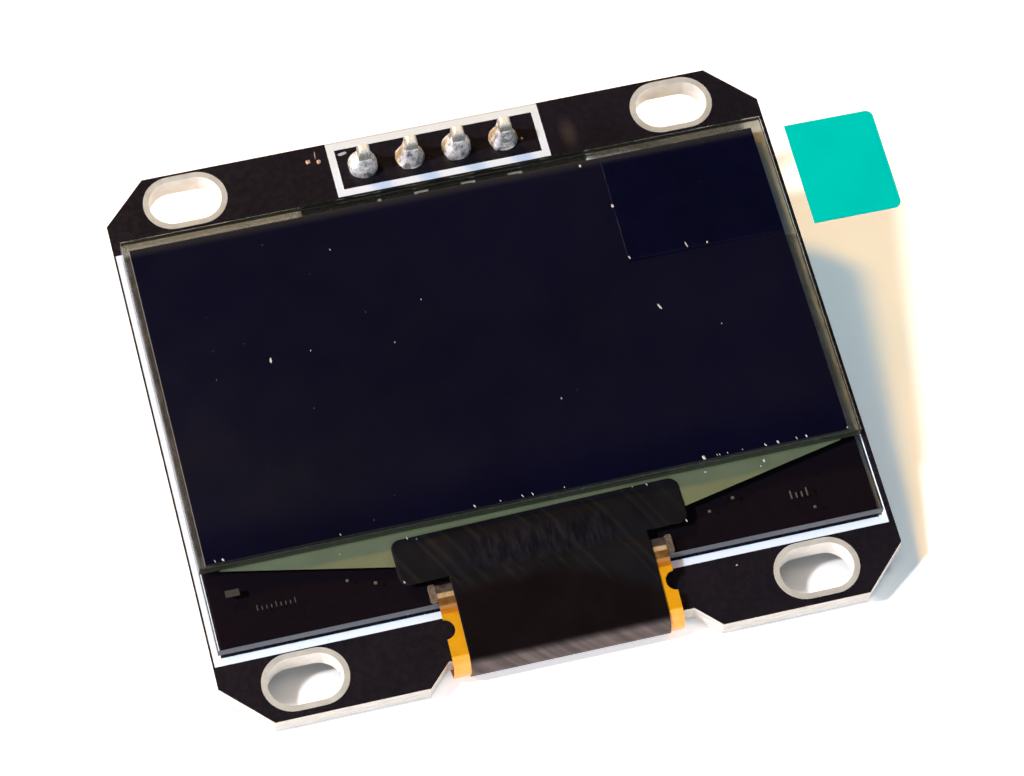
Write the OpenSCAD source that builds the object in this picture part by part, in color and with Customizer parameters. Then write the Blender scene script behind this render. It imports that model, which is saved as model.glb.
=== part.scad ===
// Small OLED display module: a glass panel bonded to a slotted circuit board,
// with a four-pin header on the back and a flexible circuit folded round the bottom edge.
// All lengths are in millimetres. X runs to the right across the display, Y up the board
// and Z out of the display face. The origin is the middle of the four mounting slots, on the
// board's back face.

/* [Board] */
// Width of the circuit board
board_w = 35.4; // [33:0.1:40]
// Height of the circuit board
board_h = 31.3; // [29:0.1:35]
// Thickness of the circuit board
board_t = 1.2; // [1.0:0.1:1.6]
// Leg of the 45 degree cut at each corner
corner_cut = 2.35; // [0.5:0.05:2.5]
// Depth of the notch in the bottom edge that the flexible circuit folds through
notch_depth = 1.2; // [0.9:0.05:1.3]
// Width of the notch at its inner edge
notch_inner_w = 12.7; // [12.5:0.1:14]
// Distance of the notch's middle to the right of the board's middle
notch_x = 0.1; // [-0.2:0.05:0.2]

/* [Mounting slots] */
// Mean distance of the slots' middles inside the board's left and right edges
slot_inset_x = 4.47; // [4:0.01:5]
// Mean distance of the slots' middles inside the board's upper and lower edges
slot_inset_y = 1.8; // [1.75:0.01:1.83]
// Distance of the slots' middle to the right of the board's middle
slots_x = -0.15; // [-0.3:0.01:0.3]
// Distance of the slots' middle above the board's middle
slots_y = 0.1; // [0:0.01:0.13]
// Length of each open slot
slot_len = 3.85; // [3.2:0.05:4.2]
// Width of each open slot
slot_w = 2.5; // [2:0.05:2.6]
// Width of the bare metal ring round each slot
slot_ring = 0.3; // [0.2:0.02:0.34]
// Thickness of the metal plated on the holes and pads
plating = 0.05; // [0.04:0.01:0.08]

/* [Pin header] */
// Distance between neighbouring pins
pin_pitch = 2.54; // [2.5:0.01:2.54]
// Distance of the pin row inside the board's upper edge
header_inset = 1.7; // [1.65:0.05:1.8]
// Width of the square pins
pin_w = 0.64; // [0.5:0.02:0.66]
// Length of pin standing above the display side of the board
pin_above = 2.0; // [1.8:0.1:3]
// Length of pin standing below the plastic strip
pin_below = 6.0; // [3:0.5:9]
// Length of the tapered tip at each end of a pin
pin_tip = 0.35; // [0.2:0.05:0.5]
// Height of the plastic strip
strip_t = 2.54; // [2:0.02:3]
// Depth of the plastic strip from front to back
strip_d = 2.5; // [2:0.05:2.6]
// Diameter of each solder pad
pad_d = 1.55; // [1.4:0.05:1.7]
// Diameter of each plated hole
pin_hole_d = 1.0; // [0.96:0.02:1.1]
// Height of each solder cone above its pad
solder_h = 1.15; // [0.8:0.05:1.4]

/* [Printed lines] */
// Thickness of the white ink
ink_t = 0.03; // [0.02:0.01:0.04]
// Width of the printed lines
line_w = 0.4; // [0.3:0.05:0.45]
// Length by which the printed box round the pins passes the plastic strip at each end
pin_box_end = 0.7; // [0.5:0.05:0.9]
// Height of the printed box round the pins
pin_box_h = 3.2; // [3:0.05:3.3]
// Distance of that box to the right of the pin row's middle
pin_box_x = 0.27; // [0:0.01:0.4]
// Distance of the printed outline outside the glass at each side
outline_side = 0.25; // [0.15:0.05:0.35]
// Distance of the printed outline outside the glass at the bottom
outline_foot = 0.46; // [0.42:0.02:0.5]
// Distance of the printed outline outside the glass at the top
outline_head = 0.0; // [-0.1:0.05:0.2]
// Length of the gap in the upper line, where the pin numbers stand
outline_gap = 15.6; // [14:0.1:20]
// Height of the pin numbers
digit_h = 1.1; // [0.8:0.05:1.2]
// Width of the strokes of the pin numbers
digit_line = 0.18; // [0.12:0.02:0.22]

/* [Display panel] */
// Distance of the glass inside the board's side edges
panel_side = 0.45; // [0.3:0.05:1]
// Distance of the glass inside the board's lower edge
panel_foot = 3.98; // [3.9:0.02:4.1]
// Distance of the glass inside the board's upper edge
panel_head = 4.15; // [4.05:0.05:4.5]
// Distance of the panel to the right of the board's middle
panel_x = -0.1; // [-0.2:0.05:0.2]
// Thickness of the adhesive pad under the glass
pad_t = 0.25; // [0.15:0.05:0.4]
// Distance of the adhesive pad inside the upper edge of the glass
pad_head = 0.7; // [0.6:0.05:2]
// Gap between the adhesive pad and the printed outline beside it
pad_gap = 0.1; // [0.05:0.05:0.5]
// Thickness of the lower glass
lower_glass_t = 0.55; // [0.5:0.05:0.7]
// Thickness of the upper glass
upper_glass_t = 0.6; // [0.4:0.05:0.7]
// Depth of the ledge that the upper glass leaves free at the bottom
ledge = 4.22; // [4.1:0.02:4.4]
// Thickness of the seal between the two sheets of glass
seal_t = 0.05; // [0.04:0.01:0.08]
// Width of the seal
seal_w = 0.9; // [0.5:0.05:1.2]
// Distance of the lit area inside the sides of the upper glass
lit_side = 2.54; // [1.5:0.02:3]
// Distance of the lit area inside the upper and lower edges of the upper glass
lit_edge = 2.04; // [1.5:0.02:3]
// Thickness of the light-emitting film
lit_t = 0.03; // [0.02:0.01:0.03]
// Thickness of the polarizing sheet
polarizer_t = 0.2; // [0.1:0.02:0.3]
// Thickness of the protective film
film_t = 0.05; // [0.03:0.01:0.1]
// Size of the small bevel along the cut edges of the glass
glass_bevel = 0.05; // [0.02:0.01:0.08]

/* [Pull tape] */
// Length of the clear tape on the display
pull_on = 9.1; // [5:0.05:12]
// Length of the tape that stands out past the glass
pull_out = 5.75; // [5:0.05:8]
// Distance of the tape's lower edge below the upper edge of the glass
pull_drop = 6.95; // [6.85:0.05:12]
// Width of the tape
pull_w = 5.95; // [4:0.05:6]
// Length of the coloured end
tab_len = 4.8; // [2:0.1:5]
// Thickness of the clear tape
pull_t = 0.05; // [0.03:0.01:0.1]
// Thickness of the coloured end
tab_t = 0.08; // [0.05:0.01:0.15]
// Radius of the rounded corners of the coloured end
tab_r = 0.4; // [0.2:0.05:1]
// Turn of the tape on the panel, in degrees
pull_turn = -0.6; // [-1:0.1:0]

/* [Driver chip and cover tape] */
// Length of the driver chip
chip_w = 9.4; // [8:0.1:9.6]
// Depth of the driver chip
chip_d = 0.95; // [0.6:0.05:1.0]
// Height of the driver chip
chip_t = 0.25; // [0.15:0.01:0.3]
// Distance of the driver chip below the edge of the upper glass
chip_drop = 1.6; // [1.5:0.05:1.7]
// Width of the cross bar of the cover tape
bar_w = 15.0; // [14:0.1:15.5]
// Depth of the cross bar
bar_d = 2.5; // [2.3:0.05:2.6]
// Distance of the cross bar below the edge of the upper glass
bar_drop = 0.28; // [0.2:0.02:0.35]
// Distance of the cross bar to the right of the board's middle
bar_x = -0.22; // [-0.4:0.02:0.2]
// Turn of the cross bar on the ledge, in degrees
bar_turn = 1.0; // [0:0.1:1.2]
// Radius of the corners of the cross bar
bar_r = 0.5; // [0.3:0.05:0.8]
// Width of the neck of the cover tape, which runs down the flexible circuit
neck_w = 10.3; // [9:0.1:10.8]
// Distance of the neck to the right of the board's middle
neck_x = -0.1; // [-0.2:0.02:0.2]
// Thickness of the cover tape
cover_t = 0.08; // [0.05:0.01:0.1]
// Thickness of the printed conductors on the ledge
trace_t = 0.02; // [0.01:0.01:0.03]

/* [Flexible circuit] */
// Width of the flexible circuit
flex_w = 11.9; // [11:0.1:12.2]
// Distance of the flexible circuit to the right of the board's middle
flex_x = -0.16; // [-0.2:0.02:0.2]
// Thickness of the flexible circuit
flex_t = 0.12; // [0.08:0.01:0.15]
// Length of the flexible circuit bonded on the ledge
flex_bond = 0.95; // [0.6:0.05:1.1]
// Height of the fold above the board's display side
fold_lift = 0.35; // [0.2:0.05:0.5]
// Gap between the edge of the notch and the inside of the fold
fold_gap = 0.6; // [0.4:0.05:0.7]
// Inner radius of the bend over the edge of the glass
lip_r = 0.6; // [0.4:0.05:1]
// Radius of the small half-round cut in each side
cut_r = 0.5; // [0.3:0.05:0.55]
// Distance of those cuts below the edge of the glass
cut_drop = 1.35; // [0.9:0.05:1.4]
// Width of the tail on the board's back
tail_w = 19.6; // [13:0.1:20]
// Length of the tail
tail_len = 3.4; // [2.5:0.1:4]
// Distance of the tail above the middle of the fold
tail_set = 2.65; // [2.2:0.05:3]
// Number of soldered contacts on the tail
contact_count = 30; // [10:1:30]
// Distance of the outer contacts inside the ends of the tail
contact_inset = 0.8; // [0.4:0.1:2]
// Length of a contact on the tail
contact_lap = 0.8; // [0.4:0.1:1.2]
// Length of a contact's foot on the board
contact_reach = 0.7; // [0.4:0.1:1.2]
// Thickness of a contact
contact_t = 0.05; // [0.03:0.01:0.1]
// Distance of the adhesive inside the edges of the tail
tail_pad_inset = 0.45; // [0.2:0.05:0.8]
// Thickness of the adhesive under the tail
tail_pad_t = 0.05; // [0.03:0.01:0.05]

/* [Parts on the back] */
// Length of each chip resistor and capacitor, with its metal ends
chip_part_len = 1.6; // [1.2:0.1:2]
// Width of each chip resistor and capacitor
chip_part_w = 0.8; // [0.6:0.05:1]
// Height of a resistor
resistor_t = 0.45; // [0.3:0.05:0.6]
// Height of a capacitor
capacitor_t = 0.8; // [0.5:0.05:1]
// Length of each soldered metal end
end_len = 0.3; // [0.2:0.05:0.4]
// Length of the voltage regulator's body
regulator_w = 2.9; // [2.7:0.1:3.1]
// Depth of the voltage regulator's body
regulator_d = 1.3; // [1.2:0.1:1.5]
// Height of the voltage regulator's body
regulator_t = 1.0; // [0.9:0.05:1.2]

/* [Hidden] */
$fn = 64;
// Amount by which a cutting shape passes the face that it cuts
over = 0.5;
// Angle by which a bend overlaps the straight strips beside it
join_angle = 0.8;

// The plated slots and pads
slot_land_len = slot_len + 2 * slot_ring;
slot_land_w = slot_w + 2 * slot_ring;
slot_cut_len = slot_len + 2 * plating;
slot_cut_w = slot_w + 2 * plating;
slot_pitch_x = board_w - 2 * slot_inset_x;
slot_pitch_y = board_h - 2 * slot_inset_y;
slot_spots = [[-1, 1], [1, 1], [-1, -1], [1, -1]];
pin_cut_d = pin_hole_d + 2 * plating;
pin_count = 4;
header_y = board_h / 2 - header_inset;
strip_w = pin_count * pin_pitch;
pin_len = pin_below + strip_t + plating + board_t + pin_above;
notch_outer_w = notch_inner_w + 2 * notch_depth;
notch_y = notch_depth - board_h / 2;

// Heights of the panel's layers
glass_z = board_t + pad_t;
ledge_z = glass_z + lower_glass_t;
upper_z = ledge_z + seal_t;
polarizer_z = upper_z + upper_glass_t;
film_z = polarizer_z + polarizer_t;
pull_z = film_z + film_t;
tab_z = pull_z + pull_t;

// Size and edges of the panel
panel_w = board_w - 2 * panel_side;
panel_h = board_h - panel_foot - panel_head;
panel_left = panel_x - panel_w / 2;
panel_right = panel_x + panel_w / 2;
panel_bottom = panel_foot - board_h / 2;
panel_top = board_h / 2 - panel_head;
panel_y = (panel_bottom + panel_top) / 2;
upper_h = panel_h - ledge;
upper_bottom = panel_bottom + ledge;
upper_y = upper_bottom + upper_h / 2;

// Margins of glass left free round the polarizing sheet
margin_left = 0.35;
margin_right = 0.7;
margin_top = 0.72;
margin_bottom = 0.1;
polarizer_w = panel_w - margin_left - margin_right;
polarizer_h = upper_h - margin_top - margin_bottom;
polarizer_x = panel_left + margin_left + polarizer_w / 2;
polarizer_y = upper_bottom + margin_bottom + polarizer_h / 2;

// The printed outline, the adhesive pad, the lit area and the pull tape, which follow the panel
outline_w = panel_w + 2 * outline_side;
outline_h = panel_h + outline_foot + outline_head;
outline_y = panel_bottom - outline_foot + outline_h / 2;
pad_side = line_w - outline_side + pad_gap;
pad_w = panel_w - 2 * pad_side;
pad_h = panel_h - pad_head - pad_gap;
pad_y = panel_bottom + pad_gap + pad_h / 2;
lit_w = panel_w - 2 * lit_side;
lit_h = upper_h - 2 * lit_edge;
pull_x = panel_right - pull_on;
pull_y = panel_top - pull_drop;
pull_len = pull_on + pull_out;

// The conductors spread from the chip to both ends of the panel
fan_side = panel_w / 2 - 1.05;
fan_side_drop = 0.02;
fan_foot = chip_w / 2 + 0.2;
fan_foot_drop = chip_drop + chip_d / 2 + 0.25;
fan_inside = seal_w - 0.05;

// The chip, the cover tape and the flexible circuit on the ledge
chip_y = upper_bottom - chip_drop;
chip_z = ledge_z + trace_t;
chip_clear = 0.03;
bar_y = upper_bottom - bar_drop - bar_d / 2;
flex_top = panel_bottom + flex_bond;
ramp_len = 0.25;

// The path of the flexible circuit: over the glass, down a slope and round the board.
// The slope is the straight line that touches the bend at the lip and the fold.
lip_y = panel_bottom - 0.05;
lip_z = ledge_z - lip_r;
fold_r = (board_t + tail_pad_t + fold_lift) / 2;
fold_y = notch_y - fold_gap + fold_r;
fold_z = fold_r - tail_pad_t;
path_span = norm([lip_y - fold_y, lip_z - fold_z]);
flex_slope = atan2(lip_z - fold_z, lip_y - fold_y) - asin((fold_r - lip_r) / path_span);
slope_len = sqrt(pow(path_span, 2) - pow(fold_r - lip_r, 2));
slope_start = [lip_y - lip_r * sin(flex_slope), lip_z + lip_r * cos(flex_slope)];
tail_bottom = fold_y + tail_set;
tail_top = tail_bottom + tail_len;
contact_pitch = (tail_w - 2 * contact_inset) / (contact_count - 1);
contact_w = 0.55 * contact_pitch;
cut_y = panel_bottom - cut_drop;
neck_end = fold_y + 1.6;

// Positions of the parts on the back, and of the numbers on the display side
resistor_spots = [[-8.5, 3], [-8.5, 1.2], [-8.5, -0.6], [2.5, -3.5], [5.5, -3.5]];
capacitor_spots = [[-3.5, 3], [-3.5, 1.2], [-3.5, -0.6], [-6, -3.5]];
regulator_spot = [5.5, 3];
body_lift = 0.05;
pin_numbers_y = panel_top - 0.5;

function pin_x(i) = (i - (pin_count + 1) / 2) * pin_pitch;

// A flat shape with two round ends, along X
module stadium(length, width) {
    square([length - width, width], center = true);
    for (side = [-1, 1]) {
        translate([side * (length - width) / 2, 0])
            circle(d = width);
    }
}

// A rectangle with rounded corners, centred on the origin
module round_rect(size, r) {
    square([size[0] - 2 * r, size[1]], center = true);
    square([size[0], size[1] - 2 * r], center = true);
    for (sx = [-1, 1], sy = [-1, 1]) {
        translate([sx * (size[0] / 2 - r), sy * (size[1] / 2 - r)])
            circle(r = r);
    }
}

// A frame of one line width, centred on the origin
module line_frame(size) {
    difference() {
        square(size, center = true);
        square([size[0] - 2 * line_w, size[1] - 2 * line_w], center = true);
    }
}

// A cut sheet of glass with a small bevel along all its edges
module glass_sheet(size, thickness) {
    hull() {
        linear_extrude(height = thickness)
            square([size[0] - 2 * glass_bevel, size[1] - 2 * glass_bevel], center = true);
        translate([0, 0, glass_bevel])
            linear_extrude(height = thickness - 2 * glass_bevel)
                square(size, center = true);
    }
}

// Stretches a profile drawn in the Y-Z plane along X, centred on x
module along_x(x, width) {
    translate([x - width / 2, 0, 0])
        rotate([90, 0, 90])
            linear_extrude(height = width)
                children();
}

// Moves a piece so that the middle of the mounting slots lies at the origin
module framed() {
    translate([-slots_x, -slots_y, 0])
        children();
}

// Board --------------------------------------------------------------

module board_outline() {
    x = board_w / 2;
    y = board_h / 2;
    difference() {
        polygon([
            [-x, -y + corner_cut], [-x, y - corner_cut], [-x + corner_cut, y],
            [x - corner_cut, y], [x, y - corner_cut], [x, -y + corner_cut],
            [x - corner_cut, -y], [-x + corner_cut, -y]
        ]);
        translate([notch_x, -y])
            polygon([
                [-notch_outer_w / 2 - over, -over], [-notch_inner_w / 2, notch_depth],
                [notch_inner_w / 2, notch_depth], [notch_outer_w / 2 + over, -over]
            ]);
    }
}

module at_slot(i) {
    spot = slot_spots[i - 1];
    translate([
        slots_x + spot[0] * slot_pitch_x / 2, slots_y + spot[1] * slot_pitch_y / 2, 0
    ])
        children();
}

module at_pin(i) {
    translate([pin_x(i), header_y, 0])
        children();
}

module circuit_board() {
    color("#141318")
        difference() {
            linear_extrude(height = board_t)
                board_outline();
            for (i = [1 : 4]) {
                at_slot(i)
                    translate([0, 0, -over])
                        linear_extrude(height = board_t + 2 * over)
                            stadium(slot_cut_len, slot_cut_w);
            }
            for (i = [1 : pin_count]) {
                at_pin(i)
                    translate([0, 0, -over])
                        cylinder(d = pin_cut_d, h = board_t + 2 * over);
            }
        }
}

// The metal that lines one mounting slot, with a ring on both faces of the board
module slot_liner(i) {
    color("#cfcac0")
        at_slot(i)
            difference() {
                union() {
                    translate([0, 0, -plating])
                        linear_extrude(height = plating)
                            stadium(slot_land_len, slot_land_w);
                    linear_extrude(height = board_t)
                        stadium(slot_cut_len, slot_cut_w);
                    translate([0, 0, board_t])
                        linear_extrude(height = plating)
                            stadium(slot_land_len, slot_land_w);
                }
                translate([0, 0, -over])
                    linear_extrude(height = board_t + 2 * over)
                        stadium(slot_len, slot_w);
            }
}

// The plated hole and pads of one header pin
module pin_pad(i) {
    color("#c9c3b4")
        at_pin(i)
            difference() {
                union() {
                    translate([0, 0, -plating])
                        cylinder(d = pad_d, h = plating);
                    cylinder(d = pin_cut_d, h = board_t);
                    translate([0, 0, board_t])
                        cylinder(d = pad_d, h = plating);
                }
                translate([0, 0, -over])
                    cylinder(d = pin_hole_d, h = board_t + 2 * over);
            }
}

// Header -------------------------------------------------------------

module square_pin(length) {
    tip_scale = 0.45;
    translate([0, 0, pin_tip])
        linear_extrude(height = length - 2 * pin_tip)
            square(pin_w, center = true);
    translate([0, 0, length - pin_tip])
        linear_extrude(height = pin_tip, scale = tip_scale)
            square(pin_w, center = true);
    translate([0, 0, pin_tip])
        mirror([0, 0, 1])
            linear_extrude(height = pin_tip, scale = tip_scale)
                square(pin_w, center = true);
}

module header_pin(i) {
    color("#c8b070")
        at_pin(i)
            translate([0, 0, -plating - strip_t - pin_below])
                square_pin(pin_len);
}

// Solder that fills one hole and stands as a cone round the pin
module solder_joint(i) {
    foot_r = pad_d / 2 - 0.03;
    crown_r = 0.5;
    top_z = board_t + plating + solder_h;
    steps = 8;
    cone = [for (k = [0 : steps])
        let (t = k / steps, swell = 0.10 * sin(180 * t))
        [foot_r + (crown_r - foot_r) * t + swell * (1 - t) - 0.04 * sin(180 * t),
            board_t + plating + solder_h * t]];
    color("#d8d6d2")
        at_pin(i)
            difference() {
                rotate_extrude()
                    polygon(concat(
                        [[0, -plating], [pin_hole_d / 2, -plating],
                            [pin_hole_d / 2, board_t + plating]],
                        cone,
                        [[0, top_z]]
                    ));
                translate([0, 0, -over])
                    linear_extrude(height = top_z + 2 * over)
                        square(pin_w, center = true);
            }
}

module header_strip() {
    bite = 0.45;
    u = pin_pitch / 2;
    v = strip_d / 2;
    color("#1b1b1d")
        difference() {
            union() {
                for (i = [1 : pin_count]) {
                    at_pin(i)
                        translate([0, 0, -plating - strip_t])
                            linear_extrude(height = strip_t)
                                polygon([
                                    [-u, -v + bite], [-u, v - bite], [-u + bite, v],
                                    [u - bite, v], [u, v - bite], [u, -v + bite],
                                    [u - bite, -v], [-u + bite, -v]
                                ]);
                }
            }
            for (i = [1 : pin_count]) {
                at_pin(i)
                    translate([0, 0, -plating - strip_t - over])
                        linear_extrude(height = strip_t + 2 * over)
                            square(pin_w, center = true);
            }
        }
}

// Printed lines ------------------------------------------------------

module header_outline() {
    color("#f2f2f0")
        translate([pin_box_x, header_y, board_t])
            linear_extrude(height = ink_t)
                line_frame([strip_w + 2 * pin_box_end, pin_box_h]);
}

module display_outline() {
    color("#f2f2f0")
        translate([panel_x, outline_y, board_t])
            linear_extrude(height = ink_t)
                difference() {
                    line_frame([outline_w, outline_h]);
                    translate([0, outline_h / 2])
                        square([outline_gap, 4 * line_w], center = true);
                }
}

// One number drawn with straight strokes. Each entry of strokes is a pair of corner points
// on a grid two columns wide and three rows high.
module digit(strokes, width) {
    for (s = strokes) {
        x0 = min(s[0][0], s[1][0]) * (width - digit_line);
        x1 = max(s[0][0], s[1][0]) * (width - digit_line) + digit_line;
        y0 = min(s[0][1], s[1][1]) * (digit_h - digit_line) / 2;
        y1 = max(s[0][1], s[1][1]) * (digit_h - digit_line) / 2 + digit_line;
        translate([x0 - width / 2, y0])
            square([x1 - x0, y1 - y0]);
    }
}

module pin_numbers() {
    digits = [
        [[[1, 0], [1, 2]]],
        [[[0, 2], [1, 2]], [[1, 1], [1, 2]], [[0, 1], [1, 1]], [[0, 0], [0, 1]],
            [[0, 0], [1, 0]]],
        [[[0, 2], [1, 2]], [[1, 0], [1, 2]], [[0, 1], [1, 1]], [[0, 0], [1, 0]]],
        [[[0, 1], [0, 2]], [[0, 1], [1, 1]], [[1, 0], [1, 2]]]
    ];
    color("#f2f2f0")
        for (i = [1 : pin_count]) {
            translate([pin_x(i), pin_numbers_y, board_t])
                linear_extrude(height = ink_t)
                    digit(digits[i - 1], 0.75);
        }
}

// Display panel ------------------------------------------------------

module adhesive_pad() {
    color("#0d0d0f")
        translate([panel_x, pad_y, board_t])
            linear_extrude(height = pad_t)
                square([pad_w, pad_h], center = true);
}

module lower_glass() {
    color("#2c3438", 0.5)
        translate([panel_x, panel_y, glass_z])
            glass_sheet([panel_w, panel_h], lower_glass_t);
}

module fan_outline() {
    translate([panel_x, upper_bottom])
        polygon([
            [-fan_side, fan_inside], [fan_side, fan_inside], [fan_side, -fan_side_drop],
            [fan_foot, -fan_foot_drop], [-fan_foot, -fan_foot_drop],
            [-fan_side, -fan_side_drop]
        ]);
}

// Printed conductors that run from the panel's lower edge to the driver chip
module trace_fan() {
    color("#5f6f52")
        translate([0, 0, ledge_z])
            linear_extrude(height = trace_t)
                fan_outline();
}

module panel_seal() {
    seal_top_w = panel_w - 2 * seal_w;
    seal_top_h = upper_h - 2 * seal_w;
    edge = 2 * glass_bevel;
    color("#6d6a58")
        difference() {
            translate([panel_x, upper_y, ledge_z])
                linear_extrude(height = seal_t)
                    difference() {
                        square([panel_w - edge, upper_h - edge], center = true);
                        square([seal_top_w, seal_top_h], center = true);
                    }
            translate([0, 0, ledge_z - over])
                linear_extrude(height = over + trace_t)
                    fan_outline();
        }
}

module lit_film() {
    color("#0b0b1c")
        translate([panel_x, upper_y + 0.35, ledge_z])
            linear_extrude(height = lit_t)
                square([lit_w, lit_h], center = true);
}

module upper_glass() {
    color("#30383c", 0.5)
        translate([panel_x, upper_y, upper_z])
            glass_sheet([panel_w, upper_h], upper_glass_t);
}

module polarizer() {
    color("#0c0c16")
        translate([polarizer_x, polarizer_y, polarizer_z])
            linear_extrude(height = polarizer_t)
                square([polarizer_w, polarizer_h], center = true);
}

module protective_film() {
    color("#9aa0a8", 0.3)
        translate([polarizer_x, polarizer_y, film_z])
            linear_extrude(height = film_t)
                square([polarizer_w, polarizer_h], center = true);
}

// Pull tape ----------------------------------------------------------

module at_pull() {
    translate([pull_x, pull_y, 0])
        rotate([0, 0, pull_turn])
            children();
}

// A strip from x0 to the tape's free end, with rounded corners at that end
module pull_shape(x0) {
    difference() {
        translate([x0, 0])
            square([pull_len - x0, pull_w]);
        for (side = [0, 1]) {
            translate([pull_len, side * pull_w])
                square(2 * tab_r, center = true);
        }
    }
    for (side = [-1, 1]) {
        translate([pull_len - tab_r, pull_w / 2 + side * (pull_w / 2 - tab_r)])
            circle(r = tab_r);
    }
}

module pull_tape() {
    color("#e8ecec", 0.35)
        at_pull()
            translate([0, 0, pull_z])
                linear_extrude(height = pull_t)
                    pull_shape(0);
}

module pull_tab() {
    color("#00c8b4")
        at_pull()
            translate([0, 0, tab_z])
                linear_extrude(height = tab_t)
                    pull_shape(pull_len - tab_len);
}

// Driver chip, flexible circuit and cover tape ---------------------------

module driver_chip() {
    color("#3b3d42")
        translate([panel_x, chip_y, chip_z + chip_t / 2])
            cube([chip_w, chip_d, chip_t], center = true);
}

// A bent strip in the Y-Z plane: the part of a ring between two angles. It runs on for a
// small angle at each end, so that it joins the flat strips there.
module bend(centre, r, thickness, from, to) {
    reach = 3 * (r + thickness);
    start = from - join_angle;
    end = to + join_angle;
    middle = (start + end) / 2;
    translate(centre)
        intersection() {
            difference() {
                circle(r = r + thickness, $fn = 96);
                circle(r = r, $fn = 96);
            }
            polygon([
                [0, 0], [reach * cos(start), reach * sin(start)],
                [reach * cos(middle), reach * sin(middle)],
                [reach * cos(end), reach * sin(end)]
            ]);
        }
}

// The folded part of the path, at a height above the flexible circuit's inner face.
// It runs from the lip of the glass to back_end on the board's back.
module folded_profile(height, thickness, back_end) {
    top = 90 + flex_slope;
    bend([lip_y, lip_z], lip_r + height, thickness, 90, top);
    translate(slope_start)
        rotate(180 + flex_slope)
            translate([0, -height - thickness])
                square([slope_len, thickness]);
    bend([fold_y, fold_z], fold_r + height, thickness, top, 180);
    bend([fold_y, fold_z], fold_r + height, thickness, 180, 270);
    translate([fold_y, -tail_pad_t - height - thickness])
        square([back_end - fold_y, thickness]);
}

module flex_profile() {
    translate([lip_y, ledge_z])
        square([flex_top - lip_y, flex_t]);
    folded_profile(0, flex_t, tail_bottom + tail_len / 2);
}

module flex_circuit() {
    color("#e89a1c") {
        difference() {
            union() {
                along_x(flex_x, flex_w)
                    flex_profile();
                translate([flex_x - tail_w / 2, tail_bottom, -tail_pad_t - flex_t])
                    cube([tail_w, tail_len, flex_t]);
            }
            for (side = [-1, 1]) {
                translate([flex_x + side * flex_w / 2, cut_y, board_t])
                    cylinder(r = cut_r, h = 2);
            }
        }
    }
}

module tail_pad() {
    color("#3a352c")
        translate([flex_x - tail_w / 2 + tail_pad_inset, tail_bottom + tail_pad_inset, -tail_pad_t])
            cube([tail_w - 2 * tail_pad_inset, tail_len - 2 * tail_pad_inset, tail_pad_t]);
}

// The soldered fingers that join the tail to the board
module tail_contacts() {
    drop = tail_pad_t + flex_t + contact_t;
    lap_end = tail_top - contact_lap;
    foot_end = tail_top + contact_reach;
    color("#d4d2cc")
        for (k = [1 : contact_count]) {
            along_x(flex_x + (k - (contact_count + 1) / 2) * contact_pitch, contact_w)
                polygon([
                    [tail_top, 0], [foot_end, 0], [foot_end, -contact_t],
                    [tail_top + contact_reach / 4, -drop], [lap_end, -drop],
                    [lap_end, -drop + contact_t], [tail_top, -drop + contact_t]
                ]);
        }
}

// The T-shaped black tape: a cross bar over the chip and a neck down the flexible circuit
module cover_tape() {
    rest_z = chip_z;
    ramp_top = flex_top + 0.12;
    ramp_foot = ramp_top + ramp_len;
    bar_foot = upper_bottom - bar_drop - bar_d + 0.3;
    color("#17171a")
        difference() {
            union() {
                translate([bar_x, bar_y, rest_z])
                    rotate([0, 0, bar_turn])
                        linear_extrude(height = cover_t)
                            round_rect([bar_w, bar_d], bar_r);
                hull() {
                    translate([panel_x, chip_y, rest_z + cover_t / 2])
                        cube([chip_w + 0.9, chip_d + 0.8, cover_t], center = true);
                    translate([panel_x, chip_y, rest_z + chip_t + cover_t / 2])
                        cube([chip_w + 0.2, chip_d + 0.2, cover_t], center = true);
                }
                along_x(neck_x, neck_w) {
                    polygon([
                        [bar_foot, rest_z], [bar_foot, rest_z + cover_t],
                        [ramp_foot, rest_z + cover_t],
                        [ramp_top, ledge_z + flex_t + cover_t],
                        [lip_y, ledge_z + flex_t + cover_t], [lip_y, ledge_z + flex_t],
                        [ramp_top, ledge_z + flex_t], [ramp_foot, rest_z]
                    ]);
                    folded_profile(flex_t, cover_t, neck_end);
                }
            }
            translate([panel_x, chip_y, rest_z])
                cube([
                    chip_w + 2 * chip_clear, chip_d + 2 * chip_clear, 2 * chip_t
                ], center = true);
        }
}

// A drop of clear glue where the flexible circuit leaves the glass
module glue_drop(side) {
    drop_w = 0.36;
    drop_len = 1.0;
    drop_t = 0.16;
    color("#b8b09a", 0.6)
        translate([
            flex_x + side * (flex_w / 2 + drop_w / 2),
            panel_bottom + glass_bevel + drop_len / 2, ledge_z
        ])
            linear_extrude(height = drop_t)
                round_rect([drop_w, drop_len], 0.12);
}

// Parts on the board's back ---------------------------------------------

// The bare body of a chip part; its metal ends stand at both sides
module chip_body(spot, height, shade) {
    color(shade)
        translate([spot[0], spot[1], -body_lift - height / 2])
            cube([chip_part_len - 2 * end_len, chip_part_w, height], center = true);
}

module resistor(i) {
    chip_body(resistor_spots[i - 1], resistor_t, "#1c1c1f");
}

module capacitor(i) {
    chip_body(capacitor_spots[i - 1], capacitor_t, "#a88660");
}

// The two soldered metal ends of one chip part
module metal_ends(spot, height) {
    body = chip_part_len / 2 - end_len;
    for (side = [-1, 1]) {
        translate([spot[0], spot[1], 0])
            mirror([side < 0 ? 1 : 0, 0, 0])
                translate([0, chip_part_w / 2, 0])
                    rotate([90, 0, 0])
                        linear_extrude(height = chip_part_w)
                            polygon([
                                [body, 0], [body + end_len + 0.35, 0],
                                [body + end_len + 0.35, -0.05],
                                [body + end_len, -0.6 * height],
                                [body + end_len, -body_lift - height],
                                [body, -body_lift - height]
                            ]);
    }
}

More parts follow.
